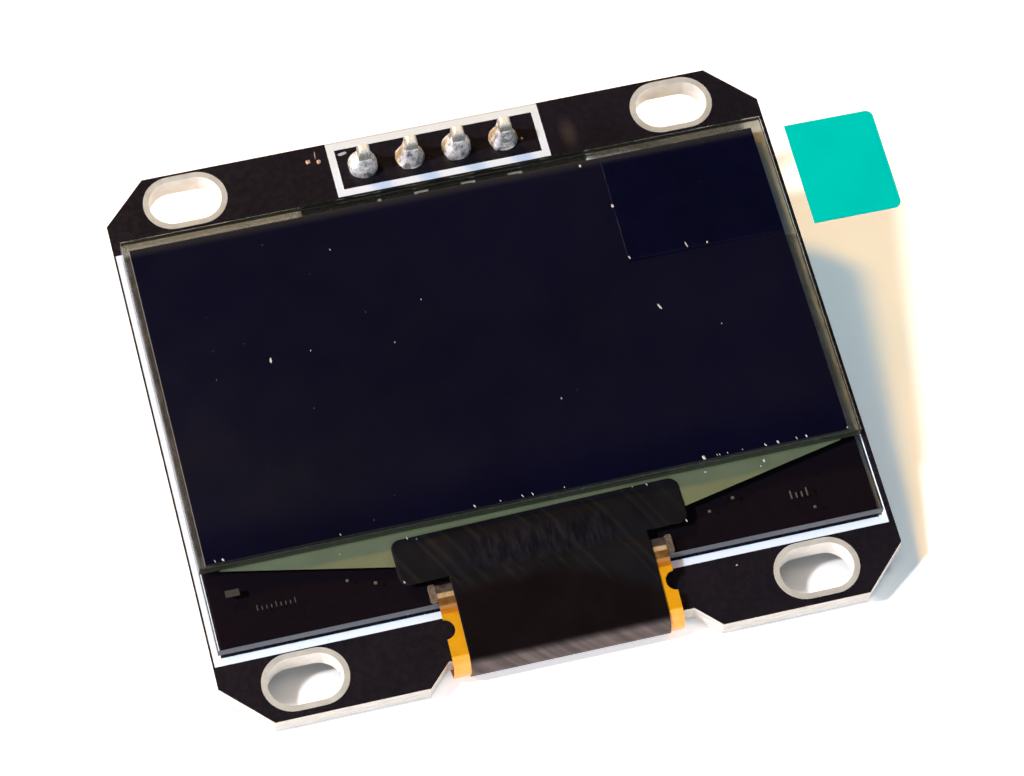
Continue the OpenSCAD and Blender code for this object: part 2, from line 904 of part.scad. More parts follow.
module chip_ends() {
    color("#cfccc6") {
        for (spot = resistor_spots) {
            metal_ends(spot, resistor_t);
        }
        for (spot = capacitor_spots) {
            metal_ends(spot, capacitor_t);
        }
    }
}

module regulator_body() {
    lift = 0.1;
    slim = 0.12;
    color("#1a1a1c")
        translate([regulator_spot[0], regulator_spot[1], -lift - regulator_t])
            hull() {
                translate([0, 0, regulator_t / 2])
                    cube([regulator_w, regulator_d, 0.2], center = true);
                translate([0, 0, regulator_t / 2])
                    cube([regulator_w - 2 * slim, regulator_d - 2 * slim, regulator_t],
                        center = true);
            }
}

// The regulator's three bent legs
module regulator_legs() {
    leg_w = 0.4;
    leg_t = 0.13;
    shin = 0.3;
    start = regulator_d / 2;
    mid = -0.1 - regulator_t / 2;
    foot = start + 0.5;
    color("#cfccc6")
        translate([regulator_spot[0], regulator_spot[1], 0])
            for (leg = [[-0.95, 1], [0.95, 1], [0, -1]]) {
                mirror([0, leg[1] < 0 ? 1 : 0, 0])
                    along_x(leg[0], leg_w)
                        polygon([
                            [start, mid - leg_t / 2], [start + shin, mid - leg_t / 2],
                            [start + shin, -leg_t], [foot, -leg_t], [foot, 0],
                            [start + shin - leg_t, 0],
                            [start + shin - leg_t, mid + leg_t / 2],
                            [start, mid + leg_t / 2]
                        ]);
            }
}

// The node to draw, or all of them

framed() circuit_board();
framed() header_strip();
framed() header_outline();
framed() display_outline();
framed() pin_numbers();
framed() adhesive_pad();
framed() lower_glass();
framed() trace_fan();
framed() panel_seal();
framed() lit_film();
framed() upper_glass();
framed() polarizer();
framed() protective_film();
framed() pull_tape();
framed() pull_tab();
framed() driver_chip();
framed() flex_circuit();
framed() tail_pad();
framed() tail_contacts();
framed() cover_tape();
framed() glue_drop(-1);  // glue_drop_left
framed() glue_drop(1);  // glue_drop_right
framed() chip_ends();
framed() regulator_body();
framed() regulator_legs();
for (i = [1 : 4])
    framed() slot_liner(i);
for (i = [1 : pin_count])
    framed() pin_pad(i);
for (i = [1 : pin_count])
    framed() header_pin(i);
for (i = [1 : pin_count])
    framed() solder_joint(i);
for (i = [1 : len(resistor_spots)])
    framed() resistor(i);
for (i = [1 : len(capacitor_spots)])
    framed() capacitor(i);
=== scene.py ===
"""Looks of the small OLED module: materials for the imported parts, the tape over the chip,
the soldered joints and the small loose details that lie on the parts, then a pale floor,
two soft lamps and the camera. Plain numbers are millimetres from the middle of the board."""

import fnmatch
import functools
import math
import random

import bmesh
import bpy
from mathutils import Euler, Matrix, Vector, noise


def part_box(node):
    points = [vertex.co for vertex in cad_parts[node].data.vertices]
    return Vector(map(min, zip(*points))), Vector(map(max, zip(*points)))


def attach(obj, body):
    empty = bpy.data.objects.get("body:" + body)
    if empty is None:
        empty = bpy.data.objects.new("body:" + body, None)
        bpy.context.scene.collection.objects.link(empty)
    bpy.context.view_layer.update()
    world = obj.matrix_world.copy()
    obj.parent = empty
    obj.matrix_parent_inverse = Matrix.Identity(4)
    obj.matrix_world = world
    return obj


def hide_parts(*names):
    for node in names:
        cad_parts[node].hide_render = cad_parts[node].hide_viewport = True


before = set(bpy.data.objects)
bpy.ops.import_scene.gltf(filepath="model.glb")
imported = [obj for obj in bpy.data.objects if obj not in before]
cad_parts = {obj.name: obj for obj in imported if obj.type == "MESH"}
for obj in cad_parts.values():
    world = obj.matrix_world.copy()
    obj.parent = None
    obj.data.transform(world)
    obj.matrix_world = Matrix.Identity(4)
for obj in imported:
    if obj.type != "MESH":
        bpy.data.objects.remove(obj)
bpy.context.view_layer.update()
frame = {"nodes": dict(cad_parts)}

MM = 0.001
NODES = frame["nodes"]


def middle_of_board():
    """The middle of the board's lower face, in metres."""
    low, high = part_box("circuit_board")
    return Vector(((low.x + high.x) / 2, (low.y + high.y) / 2, low.z))


MIDDLE = middle_of_board()


@functools.cache
def box_mm(node):
    """A node's lowest and highest corners, in millimetres from the middle of the board."""
    low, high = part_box(node)
    return (low - MIDDLE) / MM, (high - MIDDLE) / MM


def middle_mm(node):
    """The middle of a node's box, seen from above."""
    low, high = box_mm(node)
    return (low.x + high.x) / 2, (low.y + high.y) / 2


# ---------- shader helpers

class Nodes:
    """Shorthand for building a node tree from nothing."""

    def __init__(self, tree):
        self.tree = tree
        tree.nodes.clear()

    def add(self, kind, sockets=None, **values):
        """Adds a node, sets its properties, and feeds its sockets, by name or number."""
        node = self.tree.nodes.new(kind)
        for key, value in values.items():
            setattr(node, key, value)
        for key, value in (sockets or {}).items():
            self.feed(node.inputs[key], value)
        return node

    def feed(self, target, value):
        """Sets a socket to a number or colour, or links it."""
        if isinstance(value, bpy.types.NodeSocket):
            self.tree.links.new(value, target)
        elif isinstance(value, (tuple, list)) and len(value) == 3 and target.type == "RGBA":
            target.default_value = (*value, 1)
        else:
            target.default_value = value

    def math(self, operation, a, b=0.5, clamp=False):
        """One operation on one or two values."""
        sockets = {0: a, 1: b}
        return self.add("ShaderNodeMath", sockets, operation=operation, use_clamp=clamp).outputs[0]

    def times(self, first, *others):
        """The product of some values."""
        for other in others:
            first = self.math("MULTIPLY", first, other)
        return first

    def ramp(self, factor, low, high, start=0.0, end=1.0):
        """A value or colour that goes from low to high as factor goes from start to end."""
        sockets = {"Value": factor, "From Min": start, "From Max": end}
        numbers = isinstance(low, (int, float)) and isinstance(high, (int, float))
        if numbers:
            sockets |= {"To Min": low, "To Max": high}
        scaled = self.add("ShaderNodeMapRange", sockets, interpolation_type="SMOOTHSTEP").outputs[0]
        return scaled if numbers else self.mix(scaled, low, high)

    def mix(self, factor, a, b):
        """One colour over another."""
        return self.add("ShaderNodeMix", {0: factor, 6: a, 7: b}, data_type="RGBA").outputs[2]

    def blend(self, factor, a, b):
        """One number over another."""
        return self.add("ShaderNodeMix", {0: factor, 2: a, 3: b}, data_type="FLOAT").outputs[0]

    def between(self, value, low, high, soft=0.02):
        """1 where value lies between low and high, with soft edges."""
        up = self.ramp(value, 0.0, 1.0, low - soft, low + soft)
        down = self.ramp(value, 1.0, 0.0, high - soft, high + soft)
        return self.times(up, down)

    def bands(self, value, start_colour, *steps):
        """Colours one after another along a value: steps are (place, softness, colour)."""
        colour = start_colour
        for place, soft, following in steps:
            colour = self.ramp(value, colour, following, place - soft, place + soft)
        return colour

    def mix_shaders(self, factor, a, b):
        """One shader over another."""
        return self.add("ShaderNodeMixShader", {0: factor, 1: a, 2: b}).outputs[0]


class Shader(Nodes):
    """A node material that reads its position in millimetres from the board's middle."""

    def __init__(self, name):
        self.material = bpy.data.materials.new(name)
        self.material.use_nodes = True
        super().__init__(self.material.node_tree)
        self.bsdf = self.add("ShaderNodeBsdfPrincipled")
        self.out = self.add("ShaderNodeOutputMaterial", {"Surface": self.bsdf.outputs[0]})
        coords = self.add("ShaderNodeTexCoord")
        place = {0: coords.outputs["Object"], 1: (1 / MM, 1 / MM, 1 / MM), 2: tuple(-MIDDLE / MM)}
        self.mm = self.add("ShaderNodeVectorMath", place, operation="MULTIPLY_ADD").outputs[0]
        self.parts = self.add("ShaderNodeSeparateXYZ", {0: self.mm}).outputs

    def show(self, shader):
        """Makes a shader the surface."""
        self.feed(self.out.inputs["Surface"], shader)

    def set(self, **values):
        """Sets sockets of the principled shader. Underscores stand for spaces."""
        for key, value in values.items():
            self.feed(self.bsdf.inputs[key.replace("_", " ")], value)

    def axis(self, index):
        """One coordinate of the surface point, in millimetres."""
        return self.parts[index]

    def along(self, direction):
        """How far the surface point lies along a direction, in millimetres."""
        sockets = {0: self.mm, 1: direction}
        return self.add("ShaderNodeVectorMath", sockets, operation="DOT_PRODUCT").outputs["Value"]

    def stretched(self, scale):
        """The surface point with each coordinate scaled, for noise with a grain."""
        sockets = {0: self.mm, 1: scale}
        return self.add("ShaderNodeVectorMath", sockets, operation="MULTIPLY").outputs[0]

    def noise(self, scale, detail=2.0, rough=0.5, warp=0.0, vector=None):
        """Noise from 0 to 1. A higher scale gives finer patches."""
        sockets = {"Vector": vector or self.mm, "Scale": scale, "Detail": detail,
                   "Roughness": rough, "Distortion": warp}
        return self.add("ShaderNodeTexNoise", sockets).outputs["Fac"]

    def streaks(self, direction, scale, detail=2.0):
        """Noise that changes only along a direction."""
        sockets = {"W": self.along(direction), "Scale": scale, "Detail": detail}
        return self.add("ShaderNodeTexNoise", sockets, noise_dimensions="1D").outputs["Fac"]

    def mottle(self, scale, low, high, start=0.3, end=0.7):
        """A value or colour that wanders between low and high in soft patches."""
        return self.ramp(self.noise(scale, 3), low, high, start, end)

    def normal(self, index):
        """One coordinate of the face's normal, in the object's frame."""
        geometry = self.add("ShaderNodeNewGeometry")
        split = self.add("ShaderNodeSeparateXYZ", {0: geometry.outputs["True Normal"]})
        return split.outputs[index]

    def sides(self):
        """1 on faces that stand upright on the board, 0 on the flat faces."""
        return self.math("LESS_THAN", self.math("ABSOLUTE", self.normal(2)), 0.5)

    def facing(self, index, sign):
        """1 on faces whose normal points along one axis, 0 on the others."""
        return self.math("GREATER_THAN", self.times(self.normal(index), sign), 0.7)

    def spot(self, centre, radius, stretch=1.0):
        """1 at a point of the board, fading to 0 at the given distance."""
        x = self.math("SUBTRACT", self.axis(0), centre[0])
        y = self.times(self.math("SUBTRACT", self.axis(1), centre[1]), stretch)
        squares = self.math("ADD", self.times(x, x), self.times(y, y))
        return self.ramp(self.math("SQRT", squares), 1.0, 0.0, 0.0, radius)

    def bump(self, height, distance, strength=1.0):
        """Relief of the given depth in millimetres."""
        sockets = {"Strength": strength, "Distance": distance * MM, "Height": height}
        self.set(Normal=self.add("ShaderNodeBump", sockets).outputs[0])

    def let_lamps_through(self, tint, share=1.0):
        """Lets lamp light pass a thin clear sheet, so that what lies under it is lit."""
        path = self.add("ShaderNodeLightPath")
        clear = self.add("ShaderNodeBsdfTransparent", {0: tint})
        factor = self.times(path.outputs["Is Shadow Ray"], share)
        self.show(self.mix_shaders(factor, self.bsdf.outputs[0], clear.outputs[0]))


def dress(material, *names):
    """Gives CAD nodes a material. A * in a name stands for anything."""
    for name in names:
        for found in fnmatch.filter(NODES, name):
            for slot in NODES[found].material_slots:
                slot.material = material


# ---------- materials

def board_material():
    """Black lacquer on the faces, and the pale cut laminate on the edges."""
    s = Shader("board lacquer")
    cloudy = s.noise(0.5, 4)
    lacquer = s.ramp(cloudy, (0.007, 0.006, 0.0098), (0.0092, 0.0078, 0.0122), 0.3, 0.7)
    speck = s.noise(9.0, 1)
    lacquer = s.mix(s.ramp(speck, 0.0, 0.18, 0.74, 0.82), lacquer, (0.05, 0.045, 0.04))
    outline_low, outline_high = box_mm("header_outline")
    # a soft brown spot to the right of the printed box
    brown_spot_at = (outline_high.x + 1.25, 13.5)
    brown_spot = s.times(s.spot(brown_spot_at, 0.62, 0.5), 0.8)
    lacquer = s.mix(brown_spot, lacquer, (0.04, 0.03, 0.03))
    # ink that ran over from the printed box to the board's upper edge
    past_box = s.ramp(s.axis(1), 0.0, 1.0, outline_high.y - 0.08, outline_high.y - 0.04)
    printed = s.times(s.between(s.axis(0), outline_low.x, outline_high.x), past_box)
    lacquer = s.mix(printed, lacquer, (0.5, 0.54, 0.56))
    layers = s.noise(1.0, 3, 0.6, 0.0, s.stretched((0.9, 0.9, 14.0)))
    fibre = s.noise(7.0, 3)
    laminate = s.ramp(layers, (0.6, 0.57, 0.52), (0.84, 0.82, 0.78), 0.35, 0.65)
    laminate = s.mix(s.ramp(fibre, 0.0, 0.5, 0.5, 0.8), laminate, (0.92, 0.91, 0.89))
    edge = s.sides()
    s.set(Base_Color=s.mix(edge, lacquer, laminate))
    gloss = s.mottle(2.5, 0.22, 0.32)
    s.set(Roughness=s.blend(edge, gloss, 0.75))
    weave_x = s.noise(1.0, 1, 0.5, 0.0, s.stretched((0.4, 3.2, 1.0)))
    weave_y = s.noise(1.0, 1, 0.5, 0.0, s.stretched((3.2, 0.4, 1.0)))
    weave = s.math("ADD", weave_x, weave_y)
    grain = s.times(s.noise(18.0, 3), s.blend(edge, 0.15, 2.0))
    s.bump(s.math("ADD", weave, grain), 0.008, 0.4)
    s.set(Specular_IOR_Level=0.35)
    return s.material


def tinned_material():
    """Dull levelled tin, a little uneven, as on plated slots and pads. The upright sides are
    painted far paler than the flat rings, as painted light.
    """
    s = Shader("levelled tin")
    patches = s.noise(1.1, 4, 0.6)
    ring = s.ramp(patches, (0.38, 0.4, 0.39), (0.48, 0.5, 0.49), 0.3, 0.7)
    # painted light: the upright sides get a much paler copy of the tin
    painted_lit_wall = s.ramp(patches, (0.84, 0.82, 0.79), (0.95, 0.93, 0.9), 0.3, 0.7)
    s.set(Base_Color=s.mix(s.sides(), ring, painted_lit_wall), Metallic=0.08)
    s.set(Roughness=s.mottle(4.0, 0.34, 0.55))
    s.bump(s.noise(3.0, 3), 0.03, 0.5)
    return s.material


# Painted light on the solder, from the middle of each pin: the middle and radius of a painted
# highlight, and the middle of a painted tan reflection of the warm lamp, or None.
SOLDER_PAINTED_LIGHT = {1: ((-0.46, -0.2), 0.48, None),
                2: ((-0.46, -0.42), 0.26, (-0.58, 0.1)),
                3: ((-0.5, -0.4), 0.26, (-0.66, 0.14)),
                4: ((-0.44, -0.46), 0.26, (-0.58, 0.16))}


def solder_material():
    """Mottled silver solder, with a painted highlight and a painted tan reflection of the warm lamp
    on its left flanks.
    """
    s = Shader("solder")
    silver = s.ramp(s.noise(2.6, 4, 0.7), (0.22, 0.208, 0.2), (0.94, 0.9, 0.88), 0.35, 0.58)
    colour = silver
    for number, (bright, radius, warm_glint_at) in SOLDER_PAINTED_LIGHT.items():
        x, y = middle_mm("header_pin_%d" % number)
        # a painted tan reflection of the warm lamp, then a painted highlight
        if warm_glint_at:
            warm_glint = s.spot((x + warm_glint_at[0], y + warm_glint_at[1]), 0.34)
            colour = s.mix(s.ramp(warm_glint, 0.0, 0.9, 0.1, 0.7), colour, (0.52, 0.36, 0.17))
        painted_highlight = s.spot((x + bright[0], y + bright[1]), radius)
        colour = s.mix(s.ramp(painted_highlight, 0.0, 1.0, 0.1, 0.5), colour, (1.0, 0.96, 1.0))
    s.set(Base_Color=colour, Metallic=0.35)
    s.set(Roughness=s.mottle(4.0, 0.22, 0.42))
    s.bump(s.noise(2.6, 4, 0.6), 0.14, 0.9)
    return s.material


def pin_material():
    """Tinned square pins, drawn along their length. The top end is pale cream, partly the bare cut
    end and partly painted light from the lamps above; below it the pins are dark grey.
    """
    s = Shader("tinned pin")
    drawn = s.noise(1.0, 3, 0.6, 0.0, s.stretched((14.0, 14.0, 0.6)))
    end_z = box_mm("header_pin_1")[1].z
    bare = s.ramp(drawn, (0.74, 0.68, 0.56), (0.86, 0.82, 0.72), 0.3, 0.7)
    grey = s.ramp(drawn, (0.22, 0.2, 0.17), (0.44, 0.41, 0.36), 0.3, 0.7)
    # partly painted light: the pale top end, besides the bare cut end
    s.set(Base_Color=s.ramp(s.axis(2), grey, bare, end_z - 0.3, end_z - 0.1), Metallic=0.2)
    s.set(Roughness=s.ramp(drawn, 0.25, 0.42, 0.3, 0.7))
    s.bump(drawn, 0.01, 0.6)
    return s.material


def ink_material(name="white ink", dim=1.0):
    """White screen-printed ink: slightly uneven cover, soft sheen, whiter low on the board, and
    painted dark as painted shade where the right edge of the glass lies over it. A dim below 1
    darkens the ink: thinner ink, and on the pin numbers also painted shade under the glass."""
    s = Shader(name)
    cover = s.noise(3.5, 4, 0.65)
    pins_y = (12.8, 14.8)
    thin = s.ramp(s.axis(1), (0.54, 0.64, 0.8), (0.5, 0.58, 0.66), *pins_y)
    thick = s.ramp(s.axis(1), (0.66, 0.79, 0.98), (0.6, 0.68, 0.76), *pins_y)
    ink = s.ramp(cover, thin, thick, 0.22, 0.42)
    glass_low, glass_high = box_mm("lower_glass")
    # painted shade: the ink is darkened where the right edge of the glass lies over it
    covered_from = 10.0
    glass_shade = s.times(s.ramp(s.axis(0), 0.0, 1.0, covered_from, covered_from + 1.0),
                      s.between(s.axis(0), covered_from, glass_high.x + 0.02),
                      s.between(s.axis(1), glass_low.y, glass_high.y), 0.97)
    ink = s.mix(glass_shade, ink, (0.03, 0.034, 0.036))
    if dim < 1:
        ink = s.mix(1 - dim, ink, (0.02, 0.022, 0.016))
    s.set(Base_Color=ink)
    s.set(Roughness=s.ramp(s.noise(8.0, 2), 0.45, 0.65))
    s.bump(s.noise(14.0, 3), 0.01, 0.6)
    return s.material


def glass_material():
    """Thin clear panel glass. Its sanded edges are a little frosted. The edges that face the viewer
    are opaque and painted dark, with painted reflection and shade standing in for what shows
    through them: grey on the lower glass, olive on the upper one."""
    s = Shader("panel glass")
    edge = s.sides()
    front = s.facing(1, -1.0)
    cloud = s.mottle(0.8, 0.02, 0.05)
    tint = s.mix(edge, (0.93, 0.95, 0.94), (0.84, 0.86, 0.88))
    # painted reflection and shade: the front edges are opaque and coloured with the look of what
    # shows through them
    # halfway between the front edges of the two sheets
    halfway = (box_mm("lower_glass")[0].y + box_mm("upper_glass")[0].y) / 2
    upper = s.ramp(s.axis(1), 0.0, 1.0, halfway - 0.5, halfway + 0.5)
    top = box_mm("upper_glass")[1].z
    olive = s.ramp(s.axis(2), (0.03, 0.034, 0.023), (0.016, 0.018, 0.014), top - 0.3, top)
    olive = s.mix(s.mottle(2.4, 0.0, 0.6, 0.5, 0.75), olive, (0.044, 0.044, 0.036))
    painted_front_edge = s.mix(upper, (0.105, 0.11, 0.13), olive)
    s.set(Base_Color=s.mix(front, tint, painted_front_edge), IOR=1.5)
    s.set(Roughness=s.blend(edge, 0.01, cloud))
    s.set(Transmission_Weight=s.blend(front, 1.0, 0.0))
    s.set(Specular_IOR_Level=s.blend(front, 0.5, 0.12))
    s.let_lamps_through((0.88, 0.91, 0.9))
    return s.material


def adhesive_material():
    """Black foam tape under the panel and under the tail."""
    s = Shader("black adhesive foam")
    s.set(Base_Color=s.ramp(s.noise(4.0, 3), (0.0078, 0.0048, 0.0088), (0.0104, 0.0066, 0.0116)),
          Roughness=0.8, Specular_IOR_Level=0.0)
    s.bump(s.noise(12.0, 3), 0.03, 0.8)
    return s.material


def conductor_material():
    """Fine conductors that spread from the chip, seen as a grey-green sheen."""
    s = Shader("ledge conductors")
    low, high = box_mm("trace_fan")
    across = s.math("SUBTRACT", s.axis(0), middle_mm("trace_fan")[0])
    # how far the fan has opened at this height, so that the lines follow its spread
    opened = s.ramp(s.axis(1), 0.3, 1.0, low.y, high.y)
    ray = s.math("DIVIDE", across, opened)
    line_rate = 26.0
    lines = s.math("SINE", s.times(ray, line_rate))
    tone = s.math("ADD", s.times(lines, 0.12), s.noise(0.7, 2))
    s.set(Base_Color=s.ramp(tone, (0.096, 0.121, 0.068), (0.12, 0.148, 0.086), 0.2, 0.9))
    s.set(Roughness=s.ramp(s.noise(5.0, 2), 0.42, 0.55))
    s.bump(lines, 0.003, 0.3)
    return s.material


def seal_material():
    """Clear yellowish glue between the glasses, seen along the margins: grey on the left, paler
    with reddish clouds on the right, cloudy under the pull tape, painted at the upper left with
    pale stripes of painted light and a dark line between them, clear over the pin numbers and
    fading at the upper right."""
    s = Shader("cured seal")
    high = box_mm("panel_seal")[1].y
    tape_foot = box_mm("pull_tape")[0].y
    numbers_end = 7.8
    top = s.ramp(s.axis(1), 0.0, 1.0, high - 0.75, high - 0.65)
    on_left = s.ramp(s.axis(0), 1.0, 0.0, -numbers_end - 0.05, -numbers_end + 0.1)
    on_right = s.ramp(s.axis(0), 0.0, 1.0, numbers_end - 0.3, numbers_end + 0.4)
    taped = s.ramp(s.axis(1), 0.0, 1.0, tape_foot - 0.05, tape_foot + 0.1)

    left = s.ramp(s.noise(1.6, 2), (0.026, 0.022, 0.025), (0.07, 0.064, 0.068), 0.35, 0.7)
    right = s.mottle(1.3, (0.17, 0.18, 0.165), (0.27, 0.28, 0.265), 0.35, 0.65)
    right = s.mix(s.ramp(s.noise(0.9, 2), 0.0, 0.3, 0.6, 0.72), right, (0.22, 0.14, 0.13))
    clouds = s.mottle(1.0, (0.34, 0.38, 0.395), (0.44, 0.485, 0.505))
    right = s.mix(taped, right, clouds)
    glue = s.ramp(s.axis(0), left, right, -6.0, 10.0)

    # painted light: pale stripes standing in for the ink seen past and through the glass edge, with
    # a painted dark line between them
    painted_dark_line = s.between(s.axis(1), high - 0.42, high - 0.32, 0.05)
    painted_pale_stripes = s.ramp(s.noise(4.0, 3), (0.125, 0.108, 0.088), (0.175, 0.155, 0.13))
    stripes = s.mix(painted_dark_line, painted_pale_stripes, (0.045, 0.038, 0.032))
    fading = s.ramp(s.axis(1), (0.03, 0.03, 0.029), (0.088, 0.088, 0.083), high - 0.7, high - 0.1)
    fading = s.mix(s.ramp(s.axis(0), 0.55, 0.0, 10.5, 13.0), fading, (0.01, 0.01, 0.01))
    band = s.mix(on_left, s.mix(on_right, (0.02, 0.02, 0.02), fading), stripes)

    corner = s.ramp(s.spot((17.1, 10.9), 1.6, 0.45), 0.0, 1.0, 0.1, 0.7)
    s.set(Base_Color=s.mix(corner, s.mix(top, glue, band), (0.36, 0.355, 0.335)), Roughness=0.4)

    on_strip = s.times(taped, s.ramp(s.axis(0), 0.0, 0.25, 9.0, 10.0), s.ramp(top, 1.0, 0.0))
    banded = s.blend(top, 0.5, s.math("MAXIMUM", on_left, on_right))
    cover = s.times(s.math("ADD", banded, on_strip), s.blend(top, 1.0, 0.5), 0.97)
    cover = s.math("ADD", cover, 0.03)
    s.set(Alpha=s.blend(corner, cover, 0.6))
    s.let_lamps_through((0.8, 0.8, 0.78), 0.6)
    return s.material


def light_film_material():
    """The light-emitting film, switched off."""
    s = Shader("light film")
    s.set(Base_Color=s.ramp(s.noise(1.0, 2), (0.004, 0.004, 0.01), (0.008, 0.008, 0.018)),
          Metallic=0.6, Roughness=0.15)
    return s.material


def polarizer_material():
    """Deep blue-black sheet. Its cut edge is dark, and painted pale on the left as painted light.
    """
    s = Shader("polarizer")
    edge = s.sides()
    depth = s.ramp(s.noise(0.12, 2), (0.0006, 0.0007, 0.0082), (0.0009, 0.001, 0.0104), 0.3, 0.7)
    # painted light: the left-facing cut edge is pale, the others dark
    cut = s.mix(s.facing(0, -1.0), (0.014, 0.016, 0.013), (0.34, 0.31, 0.29))
    s.set(Base_Color=s.mix(edge, depth, cut))
    s.set(Roughness=s.blend(edge, 0.1, 0.5), Specular_IOR_Level=0.3)
    return s.material


def film_material():
    """Clear protective film with a faint warm haze, most at the lower left and along the upper
    edge. The haze thins out at the foot, and is gone where the pull tape wets the film."""
    s = Shader("protective film")
    low, high = box_mm("protective_film")
    tape_low, tape_high = box_mm("pull_tape")
    under_tape = s.times(s.between(s.axis(0), tape_low.x, tape_high.x),
                         s.between(s.axis(1), tape_low.y, tape_high.y))
    haze = s.times(s.ramp(s.along((0.6, 0.8, 0.0)), 0.0085, 0.0046, -12.0, -3.0),
                   s.mottle(0.35, 0.85, 1.15),
                   s.ramp(s.noise(11.0, 2), 0.8, 1.2),
                   s.ramp(under_tape, 1.0, 0.15))
    haze = s.math("ADD", haze, s.ramp(s.axis(1), 0.0, 0.026, high.y - 0.6, high.y + 0.05))
    foot = s.ramp(s.axis(1), 0.35, 1.0, low.y + 0.3, low.y + 3.0)
    haze = s.times(haze, foot, s.ramp(s.facing(0, 1.0), 1.0, 0.0))
    s.set(Base_Color=(0.62, 0.6, 0.42), Alpha=haze, Roughness=0.2)
    return s.material


def clear_tape_material():
    """Clear tape: almost nothing on its face, a thin bright line along its cut edge."""
    s = Shader("clear tape")
    edge = s.sides()
    across = s.facing(0, -1.0)
    face = s.mottle(1.2, 0.002, 0.005)
    cut = s.blend(across, 0.035, s.mottle(1.5, 0.08, 0.22, 0.35, 0.65))
    s.set(Base_Color=s.mix(edge, (0.1, 0.12, 0.3), (0.55, 0.62, 0.7)))
    s.set(Alpha=s.blend(edge, face, cut), Roughness=0.12)
    s.let_lamps_through((0.985, 0.985, 0.985))
    return s.material


def tab_material():
    """Green-blue end of the pull tape: smooth film that passes part of the light."""
    s = Shader("pull tab film")
    s.set(Base_Color=s.mottle(0.35, (0.0, 0.452, 0.416), (0.0, 0.478, 0.44)))
    s.set(Roughness=s.ramp(s.noise(3.0, 3), 0.42, 0.5), Specular_IOR_Level=0.0)
    s.bump(s.noise(2.0, 3), 0.01, 0.4)
    s.let_lamps_through((0.9, 1.0, 1.0), 0.95)
    return s.material


def chip_material():
    """Bare silicon, hidden by the cover tape."""
    s = Shader("silicon")
    s.set(Base_Color=s.ramp(s.noise(2.0, 2), (0.03, 0.03, 0.035), (0.06, 0.06, 0.07)),
          Metallic=0.4, Roughness=0.2)
    return s.material


def polyimide_material():
    """Amber flexible circuit: bands of glue, tinned ends and brown bonded foil on the glass, then
    amber. A darker orange band just past the glass edge is painted shade under the bend, and the
    paler band where it turns round the fold is painted reflection of the floor."""
    s = Shader("polyimide")
    glass_edge = -box_mm("lower_glass")[0].y
    fold_edge = -box_mm("flex_circuit")[0].y
    tone = s.noise(0.9, 3)
    amber = s.ramp(tone, (0.52, 0.24, 0.001), (0.6, 0.285, 0.0022), 0.3, 0.7)
    pale = s.ramp(tone, (0.95, 0.4, 0.045), (1.0, 0.47, 0.08), 0.3, 0.7)
    glued = s.mottle(3.0, (0.022, 0.018, 0.016), (0.06, 0.05, 0.044))
    gold = s.mottle(4.0, (0.3, 0.215, 0.115), (0.44, 0.33, 0.19))
    brown = s.mottle(3.0, (0.095, 0.044, 0.01), (0.18, 0.095, 0.028))
    bend_shade_orange = s.mottle(2.0, (0.3, 0.095, 0.003), (0.42, 0.15, 0.005))
    # painted shade: the darker orange band past the glass edge, under the bend; painted reflection:
    # the pale band round the fold
    down_board = s.times(s.axis(1), -1.0)
    s.set(Base_Color=s.bands(
        down_board, glued,
        (glass_edge - 0.52, 0.04, gold), (glass_edge - 0.27, 0.03, brown),
        (glass_edge + 0.15, 0.04, (0.34, 0.17, 0.06)), (glass_edge + 0.33, 0.04, bend_shade_orange),
        (glass_edge + 0.58, 0.06, amber), (fold_edge - 0.72, 0.05, pale)))
    s.set(Roughness=s.ramp(s.noise(4.0, 3), 0.28, 0.42), Coat_Weight=0.25, Coat_Roughness=0.2)
    s.bump(s.noise(1.2, 3), 0.03, 0.4)
    s.let_lamps_through((0.85, 0.5, 0.12), 0.5)
    return s.material


